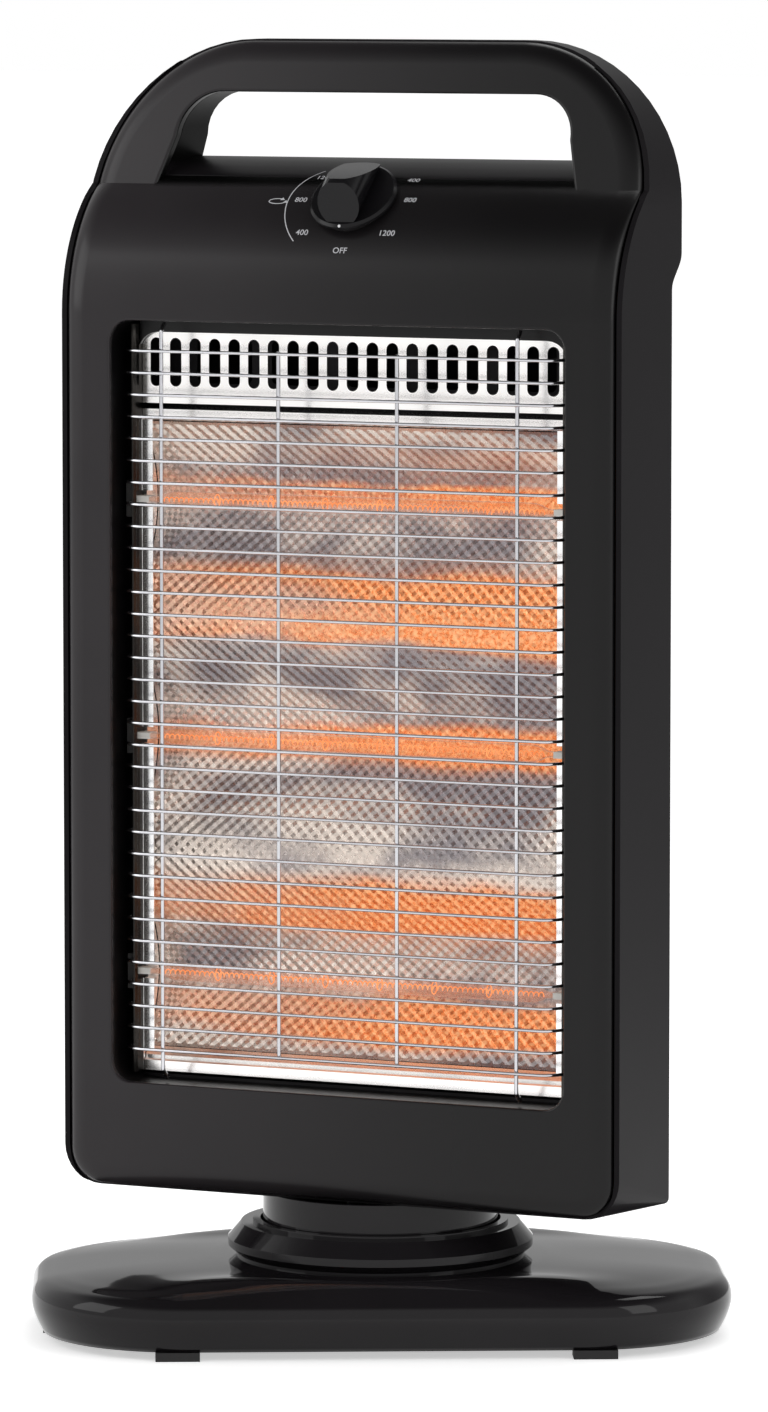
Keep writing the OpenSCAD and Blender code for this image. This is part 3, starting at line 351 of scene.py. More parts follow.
def worked_out(made):
    """A plain mesh of the object, with its modifiers worked out."""
    graph = bpy.context.evaluated_depsgraph_get()
    return bpy.data.meshes.new_from_object(made.evaluated_get(graph))


print("helpers: piece, finished, worked_out")

# %% [markdown]
# ## Softened solids
# No moulding has a knife edge. A copy of the solid has its triangles merged into flat faces and
# its sharp edges rounded by about half a millimetre, so that each catches a thin line of light.
# Weighted normals keep the flat faces flat.


# %% Round the edges of a copy
def softened(name, nodes, body, finish, width, segments=2, seam_z=None):
    """A soft-edged copy of some solids. Faces that meet at the height seam_z are joined."""
    shape = bmesh.new()
    for node in nodes:
        shape.from_mesh(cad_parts[node].data)
    bmesh.ops.remove_doubles(shape, verts=shape.verts, dist=0.00002)
    if seam_z is not None:
        level = [f for f in shape.faces if abs(f.normal.z) > 0.99]
        inner = [f for f in level if abs(f.calc_center_median().z - seam_z) < 0.0002]
        bmesh.ops.delete(shape, geom=inner, context="FACES")
        near = [v for v in shape.verts if abs(v.co.z - seam_z) < 0.0002]
        bmesh.ops.remove_doubles(shape, verts=near, dist=0.00018)
    bmesh.ops.dissolve_limit(
        shape, angle_limit=radians(0.6), verts=shape.verts, edges=shape.edges,
        use_dissolve_boundaries=False,
    )
    bmesh.ops.triangulate(shape, faces=[f for f in shape.faces if len(f.verts) > 12])
    made = placed(name, bpy.data.meshes.new(name))
    shape.to_mesh(made.data)
    shape.free()
    bevel = made.modifiers.new("edge", "BEVEL")
    bevel.width, bevel.segments, bevel.miter_outer = width * MM, segments, "MITER_ARC"
    bevel.limit_method, bevel.angle_limit = "ANGLE", radians(30)
    mesh = worked_out(made)
    made.modifiers.clear()
    made.data = mesh
    for face in made.data.polygons:
        face.use_smooth = True
    even = made.modifiers.new("flat faces stay flat", "WEIGHTED_NORMAL")
    even.keep_sharp = True
    mesh = worked_out(made)
    made.modifiers.clear()
    made.data = mesh
    finished(made, body, FINISHES[finish], nodes)


SEAM_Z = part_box("rear_shell")[1].z
softened("casing_shell", ["rear_shell", "handle_back"], "head", "casing", 0.6, 2, SEAM_Z)
softened("louvred_cover", ["rear_cover"], "head", "cover", 0.4)
softened("collar", ["swivel_collar"], "base", "gloss", 0.7, 3)
softened("neck", ["neck_drum"], "head", "gloss", 0.4)
softened("dial_knob", ["knob"], "knob", "knob", 0.4, 3)
softened("window_lining", ["window_frame"], "head", "frame", 0.3)

# %% [markdown]
# ## The front moulding
# The front is one satin moulding: flat at the bottom, bent back over the brow, and rising again
# as the handle. It is drawn flat with its two holes, cut along level lines where it will bend,
# and then pushed back by a formula of the height alone. The same formula gives the exact
# direction that each point faces, which keeps the reflections clean.

# %% The side view as a formula
FACE_Y, LEAN = -0.050, tan(radians(20))
BROW_Z, BROW_R, TOP, TOP_BACK = 0.466, 0.070, 0.590, 0.055


def arc_depth(z):
    return BROW_R - sqrt(max(1e-12, BROW_R**2 - (z - BROW_Z) ** 2))


def grip_depth(z):
    return TOP_BACK - (TOP - z) * LEAN


low, high = 0.500, 0.534
for _ in range(50):
    CREASE_Z = (low + high) / 2
    if arc_depth(CREASE_Z) < grip_depth(CREASE_Z):
        low = CREASE_Z
    else:
        high = CREASE_Z


def depth_and_slope(z, above_crease):
    """How far the front has gone back at height z, and how fast it goes back there."""
    if above_crease:
        return grip_depth(z), LEAN
    if z <= BROW_Z:
        return 0.0, 0.0
    rise = min(z - BROW_Z, BROW_R * 0.999)
    return arc_depth(z), rise / sqrt(BROW_R**2 - rise**2)


print("the handle leaves the brow at height", round(CREASE_Z, 4))


# %% Outlines seen from the front
def corner(cx, cz, rx, rz, start, end, steps):
    turn = [radians(start + (end - start) * k / steps) for k in range(steps + 1)]
    return [(cx + rx * cos(a), cz + rz * sin(a)) for a in turn]


def mirrored(half):
    return half + [(-x, z) for x, z in reversed(half)]


PANEL_X, PANEL_LOW, PANEL_R = 0.1356, 0.0658, 0.016
TOP_CORNER, TOP_RX, TOP_RZ = (0.067, 0.518), 0.0686, 0.0712
WINDOW_X, WINDOW_Z, WINDOW_R = 0.103, (0.124, 0.453), 0.010
HAND_X, HAND_LOW, HAND_CORNER, HAND_R = 0.104, 0.5242, (0.078, 0.546), 0.020


def panel_outline(inset):
    r = PANEL_R - inset
    return mirrored(
        corner(PANEL_X - PANEL_R, PANEL_LOW + PANEL_R, r, r, -90, 0, 10)
        + corner(*TOP_CORNER, TOP_RX - inset, TOP_RZ - inset, 0, 90, 28)
    )


def window_outline(grow):
    r = WINDOW_R + grow
    return mirrored(
        corner(WINDOW_X, WINDOW_Z[0], r, r, -90, 0, 8)
        + corner(WINDOW_X, WINDOW_Z[1], r, r, 0, 90, 8)
    )


def hand_outline(grow):
    x, r = HAND_X + grow, HAND_R + grow
    return mirrored([(x, CREASE_Z), (x, HAND_LOW)] + corner(*HAND_CORNER, r, r, 0, 90, 12))


print("points:", len(panel_outline(0)), len(window_outline(0)), len(hand_outline(0)))

# %% [markdown]
# The outer edge is rounded by a quarter of an ellipse, ten millimetres wide and five deep, and
# the edges of the two holes have a small round. Rings of faces follow each rounded edge, and
# filled faces cover the flat rest.


# %% Draw it flat
EDGE_W, EDGE_D, LIP, GRIP_LIP, BEYOND = 0.010, 0.005, 0.0012, 0.0016, 0.0004


def rounded(share, depth):
    """Drop of a quarter ellipse at a share of its width in from the edge, and its slope."""
    share = min(max(share, 1e-4), 1.0)
    bow = sqrt(max(0.0, 1 - (1 - share) ** 2))
    return depth * (1 - bow), (1 - share) / max(bow, 0.02)


flat = bmesh.new()
lean = flat.verts.layers.float_vector.new("lean")


def ring(outline, beyond, share, width, depth):
    """One ring of points. Each keeps the edge's drop, and its outward slope along x and z."""
    made, (fall, slope) = [], rounded(share, depth)
    for (x, z), (ex, ez) in zip(outline, beyond):
        tilt = Vector((ex - x, ez - z)).normalized() * slope * depth / width
        made.append(flat.verts.new((x, 0, z)))
        made[-1][lean] = (tilt.x, fall, tilt.y)
    return made


def edge_rings(outline_at, width, depth, shares, closed=True):
    """Rings of faces from the edge inwards. outline_at(w) is the outline w from the edge."""
    rings = [
        ring(outline_at(share * width), outline_at(share * width - BEYOND), share, width, depth)
        for share in shares
    ]
    for first, second in zip(rings, rings[1:]):
        for k in range(len(first) - (not closed)):
            j = (k + 1) % len(first)
            flat.faces.new((first[k], first[j], second[j], second[k]))
    return rings


outer_shares = [0, 0.02, 0.07, 0.15, 0.26, 0.4, 0.56, 0.75, 1.0]
hole_shares = [0, 0.1, 0.35, 0.65, 1.0]
outer = edge_rings(panel_outline, EDGE_W, EDGE_D, outer_shares)
around_window = edge_rings(window_outline, LIP, LIP, hole_shares)
around_hand = edge_rings(hand_outline, GRIP_LIP, GRIP_LIP, hole_shares, closed=False)
bound = []
for loop in (outer[-1], around_window[-1], around_hand[-1]):
    for k in range(len(loop)):
        a, b = loop[k], loop[(k + 1) % len(loop)]
        bound.append(flat.edges.get((a, b)) or flat.edges.new((a, b)))
bmesh.ops.triangle_fill(flat, use_beauty=True, edges=bound, normal=(0, -1, 0))
# the strip of the brow that shows through the hand gap
STRIP_X, STRIP_TOP = (-0.1055, -0.03, 0.03, 0.1055), 0.5278
levels = [CREASE_Z + (STRIP_TOP - CREASE_Z) * k / 3 for k in range(4)]
rows = [[flat.verts.new((x, 0, z)) for x in STRIP_X] for z in levels]
for below, over in zip(rows, rows[1:]):
    for k in range(3):
        flat.faces.new((below[k], below[k + 1], over[k + 1], over[k]))
heights = [BROW_Z + BROW_R * sin(radians(a)) for a in np.arange(0, 55.6, 1.9)]
for z in [*heights, CREASE_Z]:
    every = list(flat.verts) + list(flat.edges) + list(flat.faces)
    bmesh.ops.bisect_plane(flat, geom=every, dist=1e-6, plane_co=(0, 0, z), plane_no=(0, 0, 1))
print("flat drawing:", len(flat.faces), "faces")

# %% Push it back
flat.verts.index_update()
points, faces, directions = [], [], []
place_of = {}


def bent(v, above):
    """The place of a flat point, kept once for each side of the crease."""
    key = (v.index, above)
    if key not in place_of:
        back, slope = depth_and_slope(v.co.z, above)
        place_of[key] = len(points)
        points.append((v.co.x, FACE_Y + back + v[lean].y, v.co.z))
        directions.append(Vector((v[lean].x, -1, slope + v[lean].z)).normalized())
    return place_of[key]


def add_face(corners, facing):
    """A face turned so that it looks along facing."""
    a, b, c = (Vector(points[k]) for k in corners[:3])
    faces.append(corners if (b - a).cross(c - b).dot(facing) > 0 else corners[::-1])


for face in flat.faces:
    middle = face.calc_center_median()
    above = middle.z > CREASE_Z and not (middle.z < 0.528 and abs(middle.x) < 0.09)
    corners = [bent(v, above) for v in face.verts]
    add_face(corners, sum((directions[k] for k in corners), Vector()))
flat.free()
print("moulding:", len(points), "points")


# %% Returns behind the edges
def bands(first, n, rows, closed=True):
    """The faces between rings of n points, as corners. The first ring starts at first."""
    for row in range(rows - 1):
        for k in range(n - (not closed)):
            a, b = first + row * n + k, first + row * n + (k + 1) % n
            yield [a, b, b + n, a + n]


def wall_behind(outline, above, rows, closed=True):
    """A wall that runs back from an outline, then a lip that turns away behind the face."""
    first, n = len(points), len(outline(0))
    for extra, shift in rows:
        for (x, z), (ex, ez) in zip(outline(shift), outline(shift - BEYOND)):
            points.append((x, FACE_Y + depth_and_slope(z, above(z))[0] + extra, z))
            directions.append(Vector((ex - x, 0, ez - z)).normalized())
    for quad in bands(first, n, len(rows), closed):
        row = (quad[0] - first) // n
        lip = rows[row][1] != rows[row + 1][1]
        add_face(quad, Vector((0, 1, 0)) if lip else directions[quad[0]])


wall_behind(panel_outline, lambda z: z > CREASE_Z, [(EDGE_D, 0), (EDGE_D, 0.0022)])
wall_behind(window_outline, lambda z: False, [(LIP, 0), (0.0025, 0), (0.0025, 0.0022)])
wall_behind(hand_outline, lambda z: True, [(GRIP_LIP, 0), (0.005, 0), (0.005, 0.0022)], False)

# %% The knob's seat and the finished moulding
KNOB = Matrix.Translation((0, -0.026839, 0.518020)) @ Matrix.Rotation(radians(42), 4, "X")
seat = [(0.0175, -0.004), (0.0175, 0.0002), (0.0171, 0.0006), (0.006, 0.0006)]
first, turns = len(points), 48
for r, h in seat:
    for k in range(turns):
        a = 2 * pi * k / turns
        points.append(tuple(KNOB @ Vector((r * cos(a), r * sin(a), h))))
        away = Vector((cos(a), sin(a), 0)) if h < 0.0004 else Vector((0, 0, 1))
        directions.append(KNOB.to_3x3() @ away)
for quad in bands(first, turns, len(seat)):
    add_face(quad, directions[quad[0]] + directions[quad[3]])

moulding = piece("front_moulding", points, faces)
moulding.data.normals_split_custom_set_from_vertices([tuple(d) for d in directions])
finished(moulding, "head", FINISHES["panel"], ["front_panel"])

# %% [markdown]
# ## The base
# The base is a glossy shell with a long rounded outline. It swells to its widest a little above
# the floor, rolls over, and climbs gently to a round middle. Each spoke from the rim to the
# middle has its own profile, a blend between a low one for the ends and a fuller one for the
# long sides.

# %% Spokes of the base
BASE_TURN = radians(27)
TURNED = Matrix.Rotation(BASE_TURN, 3, "Z")
MID_X, MID_Y, BASE_R = 0.090, 0.020, 0.070
LOW_PROFILE = [(0, 18.2), (1, 23.4), (4, 27), (10, 29), (20, 30.5)]
FULL_PROFILE = [(0, 18.2), (1, 23.5), (4, 27.3), (7.2, 31), (11, 33.8)]
CORNERS = [(1, 1), (-1, 1), (-1, -1), (1, -1)]


def rim_points(inset):
    """The outline of the base, inset by some millimetres."""
    r, found = BASE_R - inset * MM, []

    def on_corner(quarter, degrees):
        (sx, sy), a = CORNERS[quarter % 4], radians(degrees)
        return Vector((sx * MID_X + r * cos(a), sy * MID_Y + r * sin(a)))

    for quarter in range(4):
        found += [on_corner(quarter, 90 * quarter + 90 * k / 24) for k in range(25)]
        end, steps = on_corner(quarter + 1, 90 * quarter + 90), 6 if quarter % 2 else 18
        found += [found[-1].lerp(end, k / steps) for k in range(1, steps)]
    return found


def smooth_path(path, steps):
    """A curve through the points, cut into parts. Long and short gaps between them may mix."""
    gaps = [(b - a).length for a, b in zip(path, path[1:])]
    ways = [(b - a) / g for a, b, g in zip(path, path[1:], gaps)]
    lean = [ways[0]]
    for k in range(1, len(path) - 1):
        lean.append((ways[k - 1] * gaps[k] + ways[k] * gaps[k - 1]) / (gaps[k - 1] + gaps[k]))
    lean.append(ways[-1])
    curve = []
    for k, parts in enumerate(steps):
        a, b, one, two = path[k], path[k + 1], lean[k] * gaps[k], lean[k + 1] * gaps[k]
        for t in [j / parts for j in range(parts)]:
            ends = a * (2 * t**3 - 3 * t**2 + 1) + b * (3 * t**2 - 2 * t**3)
            curve.append(ends + one * (t**3 - 2 * t**2 + t) + two * (t**3 - t**2))
    return curve + [path[-1]]


rims = [rim_points(inset) for inset in range(22)]
print("points round the rim:", len(rims[0]))


# %% Rings of the base
SHORT_REACH, REACH_SPAN = 0.090, 0.065
TOP_R, MIDDLE_R, TOP_Z = 0.0725, 0.050, 0.035


def rim_at(inset, k, z):
    """The k-th place on the rim, inset by some millimetres, at height z."""
    low = int(inset)
    return Vector((*rims[low][k].lerp(rims[low + 1][k], inset - low), z))


spokes = []
for k, edge in enumerate(rims[0]):
    end = min(1, max(0, (edge.length - SHORT_REACH) / REACH_SPAN))
    end = end * end * (3 - 2 * end)
    lip = [rim_at(7.3, k, z) for z in (0.012, 0.0043)]
    path = [rim_at(5, k, 0.004), rim_at(1.9, k, 0.0102)]
    for (i0, z0), (i1, z1) in zip(FULL_PROFILE, LOW_PROFILE):
        path.append(rim_at(i0 + (i1 - i0) * end, k, (z0 + (z1 - z0) * end) * MM))
    path.append(Vector((*(edge.normalized() * TOP_R), TOP_Z)))
    skin = smooth_path(path, [3, 4, 5, 5, 5, 5, 12])
    spokes.append([*lip, *skin, Vector((*(edge.normalized() * MIDDLE_R), TOP_Z))])
rows = len(spokes[0])
points, faces = [tuple(TURNED @ p) for spoke in spokes for p in spoke], []
for k in range(len(spokes)):
    a, b = k * rows, ((k + 1) % len(spokes)) * rows
    faces += [(a + j, b + j, b + j + 1, a + j + 1) for j in range(rows - 1)]
base_skin = piece("base_skin", points, faces)
finished(base_skin, "base", FINISHES["gloss"], ["base_shell"])

# %% [markdown]
# ## Nodes that repeat a wire
# The grille is one bent wire, welded at even steps to a few upright ones. A tree takes any path,
# rounds its corners, gives it a thickness, and sets copies of it at even steps. It serves for
# the level wires and for the uprights.


# %% A tree for wires
def label_of(key):
    return key.replace("_", " ").capitalize()


class Tree:
    """A Geometry Nodes tree in work, with its named inputs."""

    def __init__(self, name, **inputs):
        self.group = bpy.data.node_groups.new(name, "GeometryNodeTree")
        face = self.group.interface
        face.new_socket("Geometry", in_out="INPUT", socket_type="NodeSocketGeometry")
        face.new_socket("Geometry", in_out="OUTPUT", socket_type="NodeSocketGeometry")
        kinds = {int: "Int", float: "Float", tuple: "Vector"}
        for key, value in inputs.items():
            kind = "NodeSocket" + kinds[type(value)]
            made = face.new_socket(label_of(key), in_out="INPUT", socket_type=kind)
            made.default_value = value
        self.start = self.group.nodes.new("NodeGroupInput")
        self.end = self.group.nodes.new("NodeGroupOutput")

    def value(self, label):
        return self.start.outputs[label]

    def add(self, kind, sockets, out=0, **settings):
        return new_node(self.group, kind, sockets, out, settings)

    def also(self, socket, output, number):
        """Link one more socket to a node's input that takes several."""
        self.group.links.new(socket, output.node.inputs[number])

    def circle(self, points, label):
        sockets = {"Resolution": points, "Radius": self.value(label)}
        return self.add("GeometryNodeCurvePrimitiveCircle", sockets)

    def copies(self, points, instance, **others):
        sockets = {"Points": points, "Instance": instance, **others}
        return self.add("GeometryNodeInstanceOnPoints", sockets)

    def finish(self, socket, finish, smooth=True):
        if smooth:
            socket = self.add("GeometryNodeSetShadeSmooth", {"Geometry": socket})
        solid = self.add("GeometryNodeRealizeInstances", {0: socket})
        last = self.add("GeometryNodeSetMaterial", {"Geometry": solid, "Material": finish})
        self.group.links.new(last, self.end.inputs[0])
        return self.group


def grown(name, source, tree, **values):
    """Give source the tree with these inputs, and turn what grows into a plain mesh."""
    grow = source.modifiers.new("grow", "NODES")
    grow.node_group = tree
    identifiers = {i.name: i.identifier for i in tree.interface.items_tree}
    for key, value in values.items():
        grow[identifiers[label_of(key)]] = value
    made = placed(name, worked_out(source))
    bpy.data.objects.remove(source)
    return made


def path_curve(runs):
    """A curve object with one straight-cornered path for each run of points."""
    curve = bpy.data.curves.new("path", "CURVE")
    curve.dimensions = "3D"
    for run in runs:
        spline = curve.splines.new("POLY")
        spline.points.add(len(run) - 1)
        for point, spot in zip(spline.points, run):
            point.co = (*spot, 1)
    return placed("path", curve)


def wire_tree(finish):
    tree = Tree("repeated_wire", bend=0.01, radius=0.001, count=1, step=(0.0, 0.0, 0.0))
    bends = {"Curve": tree.value("Geometry"), "Count": 9, "Radius": tree.value("Bend")}
    path = tree.add("GeometryNodeFilletCurve", bends, mode="POLY")
    tube = {"Curve": path, "Profile Curve": tree.circle(8, "Radius"), "Fill Caps": True}
    wire = tree.add("GeometryNodeCurveToMesh", tube)
    steps = {"Count": tree.value("Count"), "Offset": tree.value("Step")}
    spots = tree.add("GeometryNodeMeshLine", steps, mode="OFFSET")
    return tree.finish(tree.copies(spots, wire), finish)


WIRES = wire_tree(FINISHES["chrome"])
print("wire tree:", len(WIRES.nodes), "nodes")

# %% Level wires
WIRE_X, WIRE_Y, WIRE_LOW, WIRE_N, WIRE_PITCH = 0.1088, -0.0475, 0.12925, 33, 0.010
END_Y = -0.0365
turns = [(-WIRE_X, END_Y), (-WIRE_X, WIRE_Y), (WIRE_X, WIRE_Y), (WIRE_X, END_Y)]
level_wires = grown(
    "level_wires", path_curve([[(x, y, WIRE_LOW) for x, y in turns]]), WIRES,
    bend=0.010, radius=0.00075, count=WIRE_N, step=(0, 0, WIRE_PITCH),
)
finished(level_wires, "head", None, ["grille_cross_wires"])

# %% Upright wires
WIRE_HIGH = WIRE_LOW + (WIRE_N - 1) * WIRE_PITCH
OUTER_X, INNER_X, UP_Y = 0.0885, 0.0295, -0.0457
hooked = [(UP_Y + 0.0045, 0.11575), (UP_Y, 0.12025), (UP_Y, 0.45825), (UP_Y + 0.0034, 0.46165)]
straight = [(UP_Y, WIRE_LOW - 0.001), (UP_Y, WIRE_HIGH + 0.001)]
runs = [
    [(side * x, y, z) for y, z in run]
    for side in (-1, 1)
    for x, run in ((OUTER_X, hooked), (INNER_X, straight))
]
uprights = grown(
    "upright_wires", path_curve(runs), WIRES, bend=0.002, radius=0.001, count=1,
    step=(0.0, 0.0, 0.0),
)
finished(uprights, "head", None, ["grille_uprights"])

# %% [markdown]
# Each crossing is a spot weld, where a small flattened bead of metal has risen round the two
# wires. The beads are copies of one tiny ball on a grid of points.


# %% Weld beads
BEAD_Y = -0.0466


def bead_tree(finish):
    tree = Tree("weld_beads", radius=0.001)
    sockets = {"Radius": tree.value("Radius"), "Subdivisions": 2}
    ball = tree.add("GeometryNodeMeshIcoSphere", sockets)
    span = {0: (0.0, 0.0, 0.0), 1: (3.1, 3.1, 3.1), "Seed": 7}
    turn = tree.add("FunctionNodeRandomValue", span, data_type="FLOAT_VECTOR")
    beads = tree.copies(tree.value("Geometry"), ball, Rotation=turn, Scale=(1.0, 0.8, 0.75))
    return tree.finish(beads, finish)


crossings = [
    (x, BEAD_Y, WIRE_LOW + k * WIRE_PITCH)
    for x in (-OUTER_X, -INNER_X, INNER_X, OUTER_X)
    for k in range(WIRE_N)
]
beads = grown(
    "weld_beads", piece("spots", crossings, []), bead_tree(FINISHES["chrome"]), radius=0.00115
)
finished(beads, "head", None)

# %% [markdown]
# ## The embossed reflector
# The big sheet behind the lamps is pressed into small diamonds, so that each one throws the
# light another way. It also bends into one shallow trough behind each lamp. So it is a grid of
# points whose depth is the trough plus the diamonds, and the diamonds' creases fall exactly on
# edges of triangles.

# %% Press the sheet
SHEET_X, SHEET_LOW, SHEET_HIGH = 0.106, 0.128, 0.416
LAMP_LOW, LAMP_PITCH = 0.16333, 0.10867
DIAMOND_W, DIAMOND_H, PRESSED = 0.0058, 0.0052, 0.0012
FRONT_Y, TROUGH_DEPTH = -0.0287, 0.015


def zigzag(t):
    return 1 - np.abs(2 * (t - np.floor(t)) - 1)


columns = 4 * round(2 * SHEET_X / DIAMOND_W)
levels = 4 * round((SHEET_HIGH - SHEET_LOW) / DIAMOND_H)
i, j = np.meshgrid(np.arange(columns + 1), np.arange(levels + 1), indexing="ij")
pressed = (zigzag((i + j) / 4) + zigzag((i - j) / 4)) / 2
xs = SHEET_X * (2 * i / columns - 1)
zs = SHEET_LOW + (SHEET_HIGH - SHEET_LOW) * j / levels
trough = FRONT_Y + TROUGH_DEPTH * np.cos(np.pi * (zs - LAMP_LOW) / LAMP_PITCH) ** 2
rim = np.minimum(np.minimum(i, columns - i), np.minimum(j, levels - j))
ys = np.where(rim == 0, trough, trough + PRESSED * pressed)
points = np.stack([xs, ys, zs], -1).reshape(-1, 3)
faces = []
for a in range(columns):
    for b in range(levels):
        p, q = a * (levels + 1) + b, (a + 1) * (levels + 1) + b
        if (a + b) % 2:
            faces += [(p, q, p + 1), (q, q + 1, p + 1)]
        else:
            faces += [(p, q, q + 1), (p, q + 1, p + 1)]
sheet = piece("embossed_reflector", points, faces, smooth=False)
print("diamonds across:", columns // 4, "and up:", levels // 4)

# %% [markdown]
# The lamps' light comes back from the sheet in soft orange bands, stronger on the right. The
# bands are part of the metal's colour along its height, with ragged ends, and they glow a
# little. Between them the steel is a warm grey with paler and darker patches.

# %% Colour of the lit sheet
BANDS = [
    (0.128, 0.15), (0.134, 0.45), (0.139, 0.85), (0.154, 0.8), (0.160, 0.3), (0.174, 0.12),
    (0.184, 0.4), (0.189, 0.9), (0.203, 0.85), (0.210, 0.5), (0.217, 0.1), (0.250, 0.0),
    (0.259, 0.35), (0.264, 0.9), (0.275, 0.85), (0.281, 0.2), (0.300, 0.0), (0.312, 0.25),
    (0.320, 0.85), (0.335, 0.75), (0.346, 0.9), (0.352, 0.4), (0.362, 0.12), (0.376, 0.2),
    (0.380, 0.7), (0.387, 0.75), (0.391, 0.3), (0.404, 0.35), (0.416, 0.1),
]
lit, shader = start("lit_embossed_sheet", Metallic=0.85, Emission_Strength=0.55)
ragged = noise(place((0.35, 1, 1)), 0.028, 3) - 0.5
up = (along("Z") + 0.022 * ragged - SHEET_LOW) * (1 / (SHEET_HIGH - SHEET_LOW))
glow = Wire.node("ValToRGB", {"Fac": up})
ramp = glow.socket.node.color_ramp.elements
while len(ramp) < len(BANDS):
    ramp.new(0.5)
for stop, (height, light) in zip(ramp, BANDS):
    stop.position = (height - SHEET_LOW) / (SHEET_HIGH - SHEET_LOW)
    stop.color = (light, light, light, 1)
patchy = 0.55 + 0.9 * noise(place((0.5, 1, 1)), 0.02, 4)
strength = glow * (0.55 + 0.45 * along("X").step(-0.08, 0.07)) * patchy
patch = noise(place((0.6, 1, 1)), 0.035, 3)
steel = patch.step(0.36, 0.62).blend(rgb("918b8e"), rgb("e2d5ca"))
speck = noise(place(), 0.0016, 2)
warm = speck.step(0.3, 0.7).blend(rgb("e2824a"), rgb("fabb88"))
join(
    shader,
    Base_Color=strength.step(0.12, 0.75).blend(steel, warm),
    Roughness=0.2 + 0.16 * speck,
    Emission_Color=strength.step(0.2, 0.9).blend((0, 0, 0, 1), rgb("8a4319")),
    Normal=bumps(noise(place(), 0.0012, 2), 0.00012),
)
finished(sheet, "head", lit, ["reflector_back"])

# %% [markdown]
# ## The lamps
# Each lamp is a clear quartz tube, pressed flat where it enters its ceramic end. The glass is
# made from rings of points that go from round to flat. The long thin coil inside is a spiral
# from Geometry Nodes, held in the middle by small rings.

# %% Quartz tubes
LAMPS = [LAMP_LOW + k * LAMP_PITCH for k in range(3)]
LAMP_Y, SIDES = -0.030, 24
# places along half a tube, and how tall and deep it is there, in millimetres
HALF = [(101, 1.3, 3.6), (96.5, 1.5, 3.8), (93.5, 3.0, 4.0), (90.5, 3.9, 4.0), (88, 4.0, 4.0)]
stations = [(-x, tall, deep) for x, tall, deep in HALF] + HALF[::-1]
points, faces = [], []
for lamp_z in LAMPS:
    quads = bands(len(points), SIDES, len(stations))
    faces += [(a, d, c, b) for a, b, c, d in quads]
    for x, tall, deep in stations:
        for a in [2 * pi * k / SIDES for k in range(SIDES)]:
            y, z = LAMP_Y - deep * MM * cos(a), lamp_z + tall * MM * sin(a)
            points.append((x * MM, y, z))
tubes = piece("quartz_tubes", points, faces)
# The glass's orange tint and weak glow are painted light from the hot coil inside.
quartz, shader = start("quartz_glass", Roughness=0.04, IOR=1.46, Emission_Strength=0.6)
facing = Wire.node("LayerWeight", {"Blend": 0.35}, 1)
rub = noise(place((0.1, 1, 1)), 0.003)
join(
    shader,
    Base_Color=facing.step(0.2, 0.9).blend(rgb("f2a56c"), rgb("fbf4ee")),
    Alpha=0.16 + 0.5 * facing.step(0.25, 0.95) + 0.05 * rub,
    Emission_Color=facing.step(0.1, 0.7).blend(rgb("b8602a"), rgb("3a1c0c")),
)
finished(tubes, "head", quartz, ["lamp_tubes"])


# %% Glowing coils
def coil_tree(finish):
    tree = Tree("lamp_coil", turns=70.0, radius=0.001, wire=0.0003, length=0.19, ring=0.0029)
    radius, wire = tree.value("Radius"), tree.circle(5, "Wire")
    spiral = tree.add("GeometryNodeCurveSpiral", {
        "Resolution": 9, "Rotations": tree.value("Turns"), "Start Radius": radius,
        "End Radius": radius, "Height": tree.value("Length"),
    })
    hoop = tree.circle(20, "Ring")
    coil = tree.add("GeometryNodeCurveToMesh", {"Curve": spiral, "Profile Curve": wire})
    loop = tree.add("GeometryNodeCurveToMesh", {"Curve": hoop, "Profile Curve": wire})
    steps = {"Count": 6, "Start Location": (0, 0, 0.027), "Offset": (0, 0, 0.0272)}
    spots = tree.add("GeometryNodeMeshLine", steps, mode="OFFSET")
    both = tree.add("GeometryNodeJoinGeometry", {0: tree.copies(spots, loop)})
    tree.also(coil, both, 0)
    laid = tree.add("GeometryNodeTransform", {
        "Geometry": both, "Translation": (-0.095, 0, 0), "Rotation": (0, pi / 2, 0),
    })
    return tree.finish(tree.copies(tree.value("Geometry"), laid), finish)


hot, shader = start("hot_coil", Roughness=0.5, Emission_Strength=1.0)
wave = noise(place((0.2, 1, 1)), 0.004)
join(
    shader,
    Base_Color=wave.step(0.3, 0.7).blend(rgb("a84a1c"), rgb("d2692c")),
    Emission_Color=wave.step(0.2, 0.8).blend(rgb("e88248"), rgb("f8a870")),
)
coils = grown(
    "lamp_coils", piece("lamp_middles", [(0, LAMP_Y, z) for z in LAMPS], []), coil_tree(hot),
    turns=76.0, radius=0.001, wire=0.00028, length=0.19, ring=0.0029,
)
finished(coils, "head", None, ["lamp_filaments"])

# %% [markdown]
# ## The dial
# The numbers round the knob are printed in pale grey on the curved brow. Each one starts as a
# text object, becomes a flat mesh, and is wrapped on the brow: its height on the dial turns into
# an angle round the brow's axis. The prints stand a few hundredths of a millimetre proud.

# %% Wrap a flat drawing on the brow
DIAL_ANGLE, LETTER, LINE_W = radians(48), 0.0040, 0.00045


def on_brow(u, v, proud=0.00006):
    """The place u to the right of the knob's axis and v up the slope of the brow."""
    angle, r = DIAL_ANGLE + v / BROW_R, BROW_R + proud
    return (u, FACE_Y + BROW_R - r * cos(angle), BROW_Z + r * sin(angle))


print_points, print_faces = [], []


def stamp(flat_points, flat_faces, u=0.0, v=0.0):
    first = len(print_points)
    print_points.extend(on_brow(u + p[0], v + p[1]) for p in flat_points)
    print_faces.extend([first + k for k in face] for face in flat_faces)


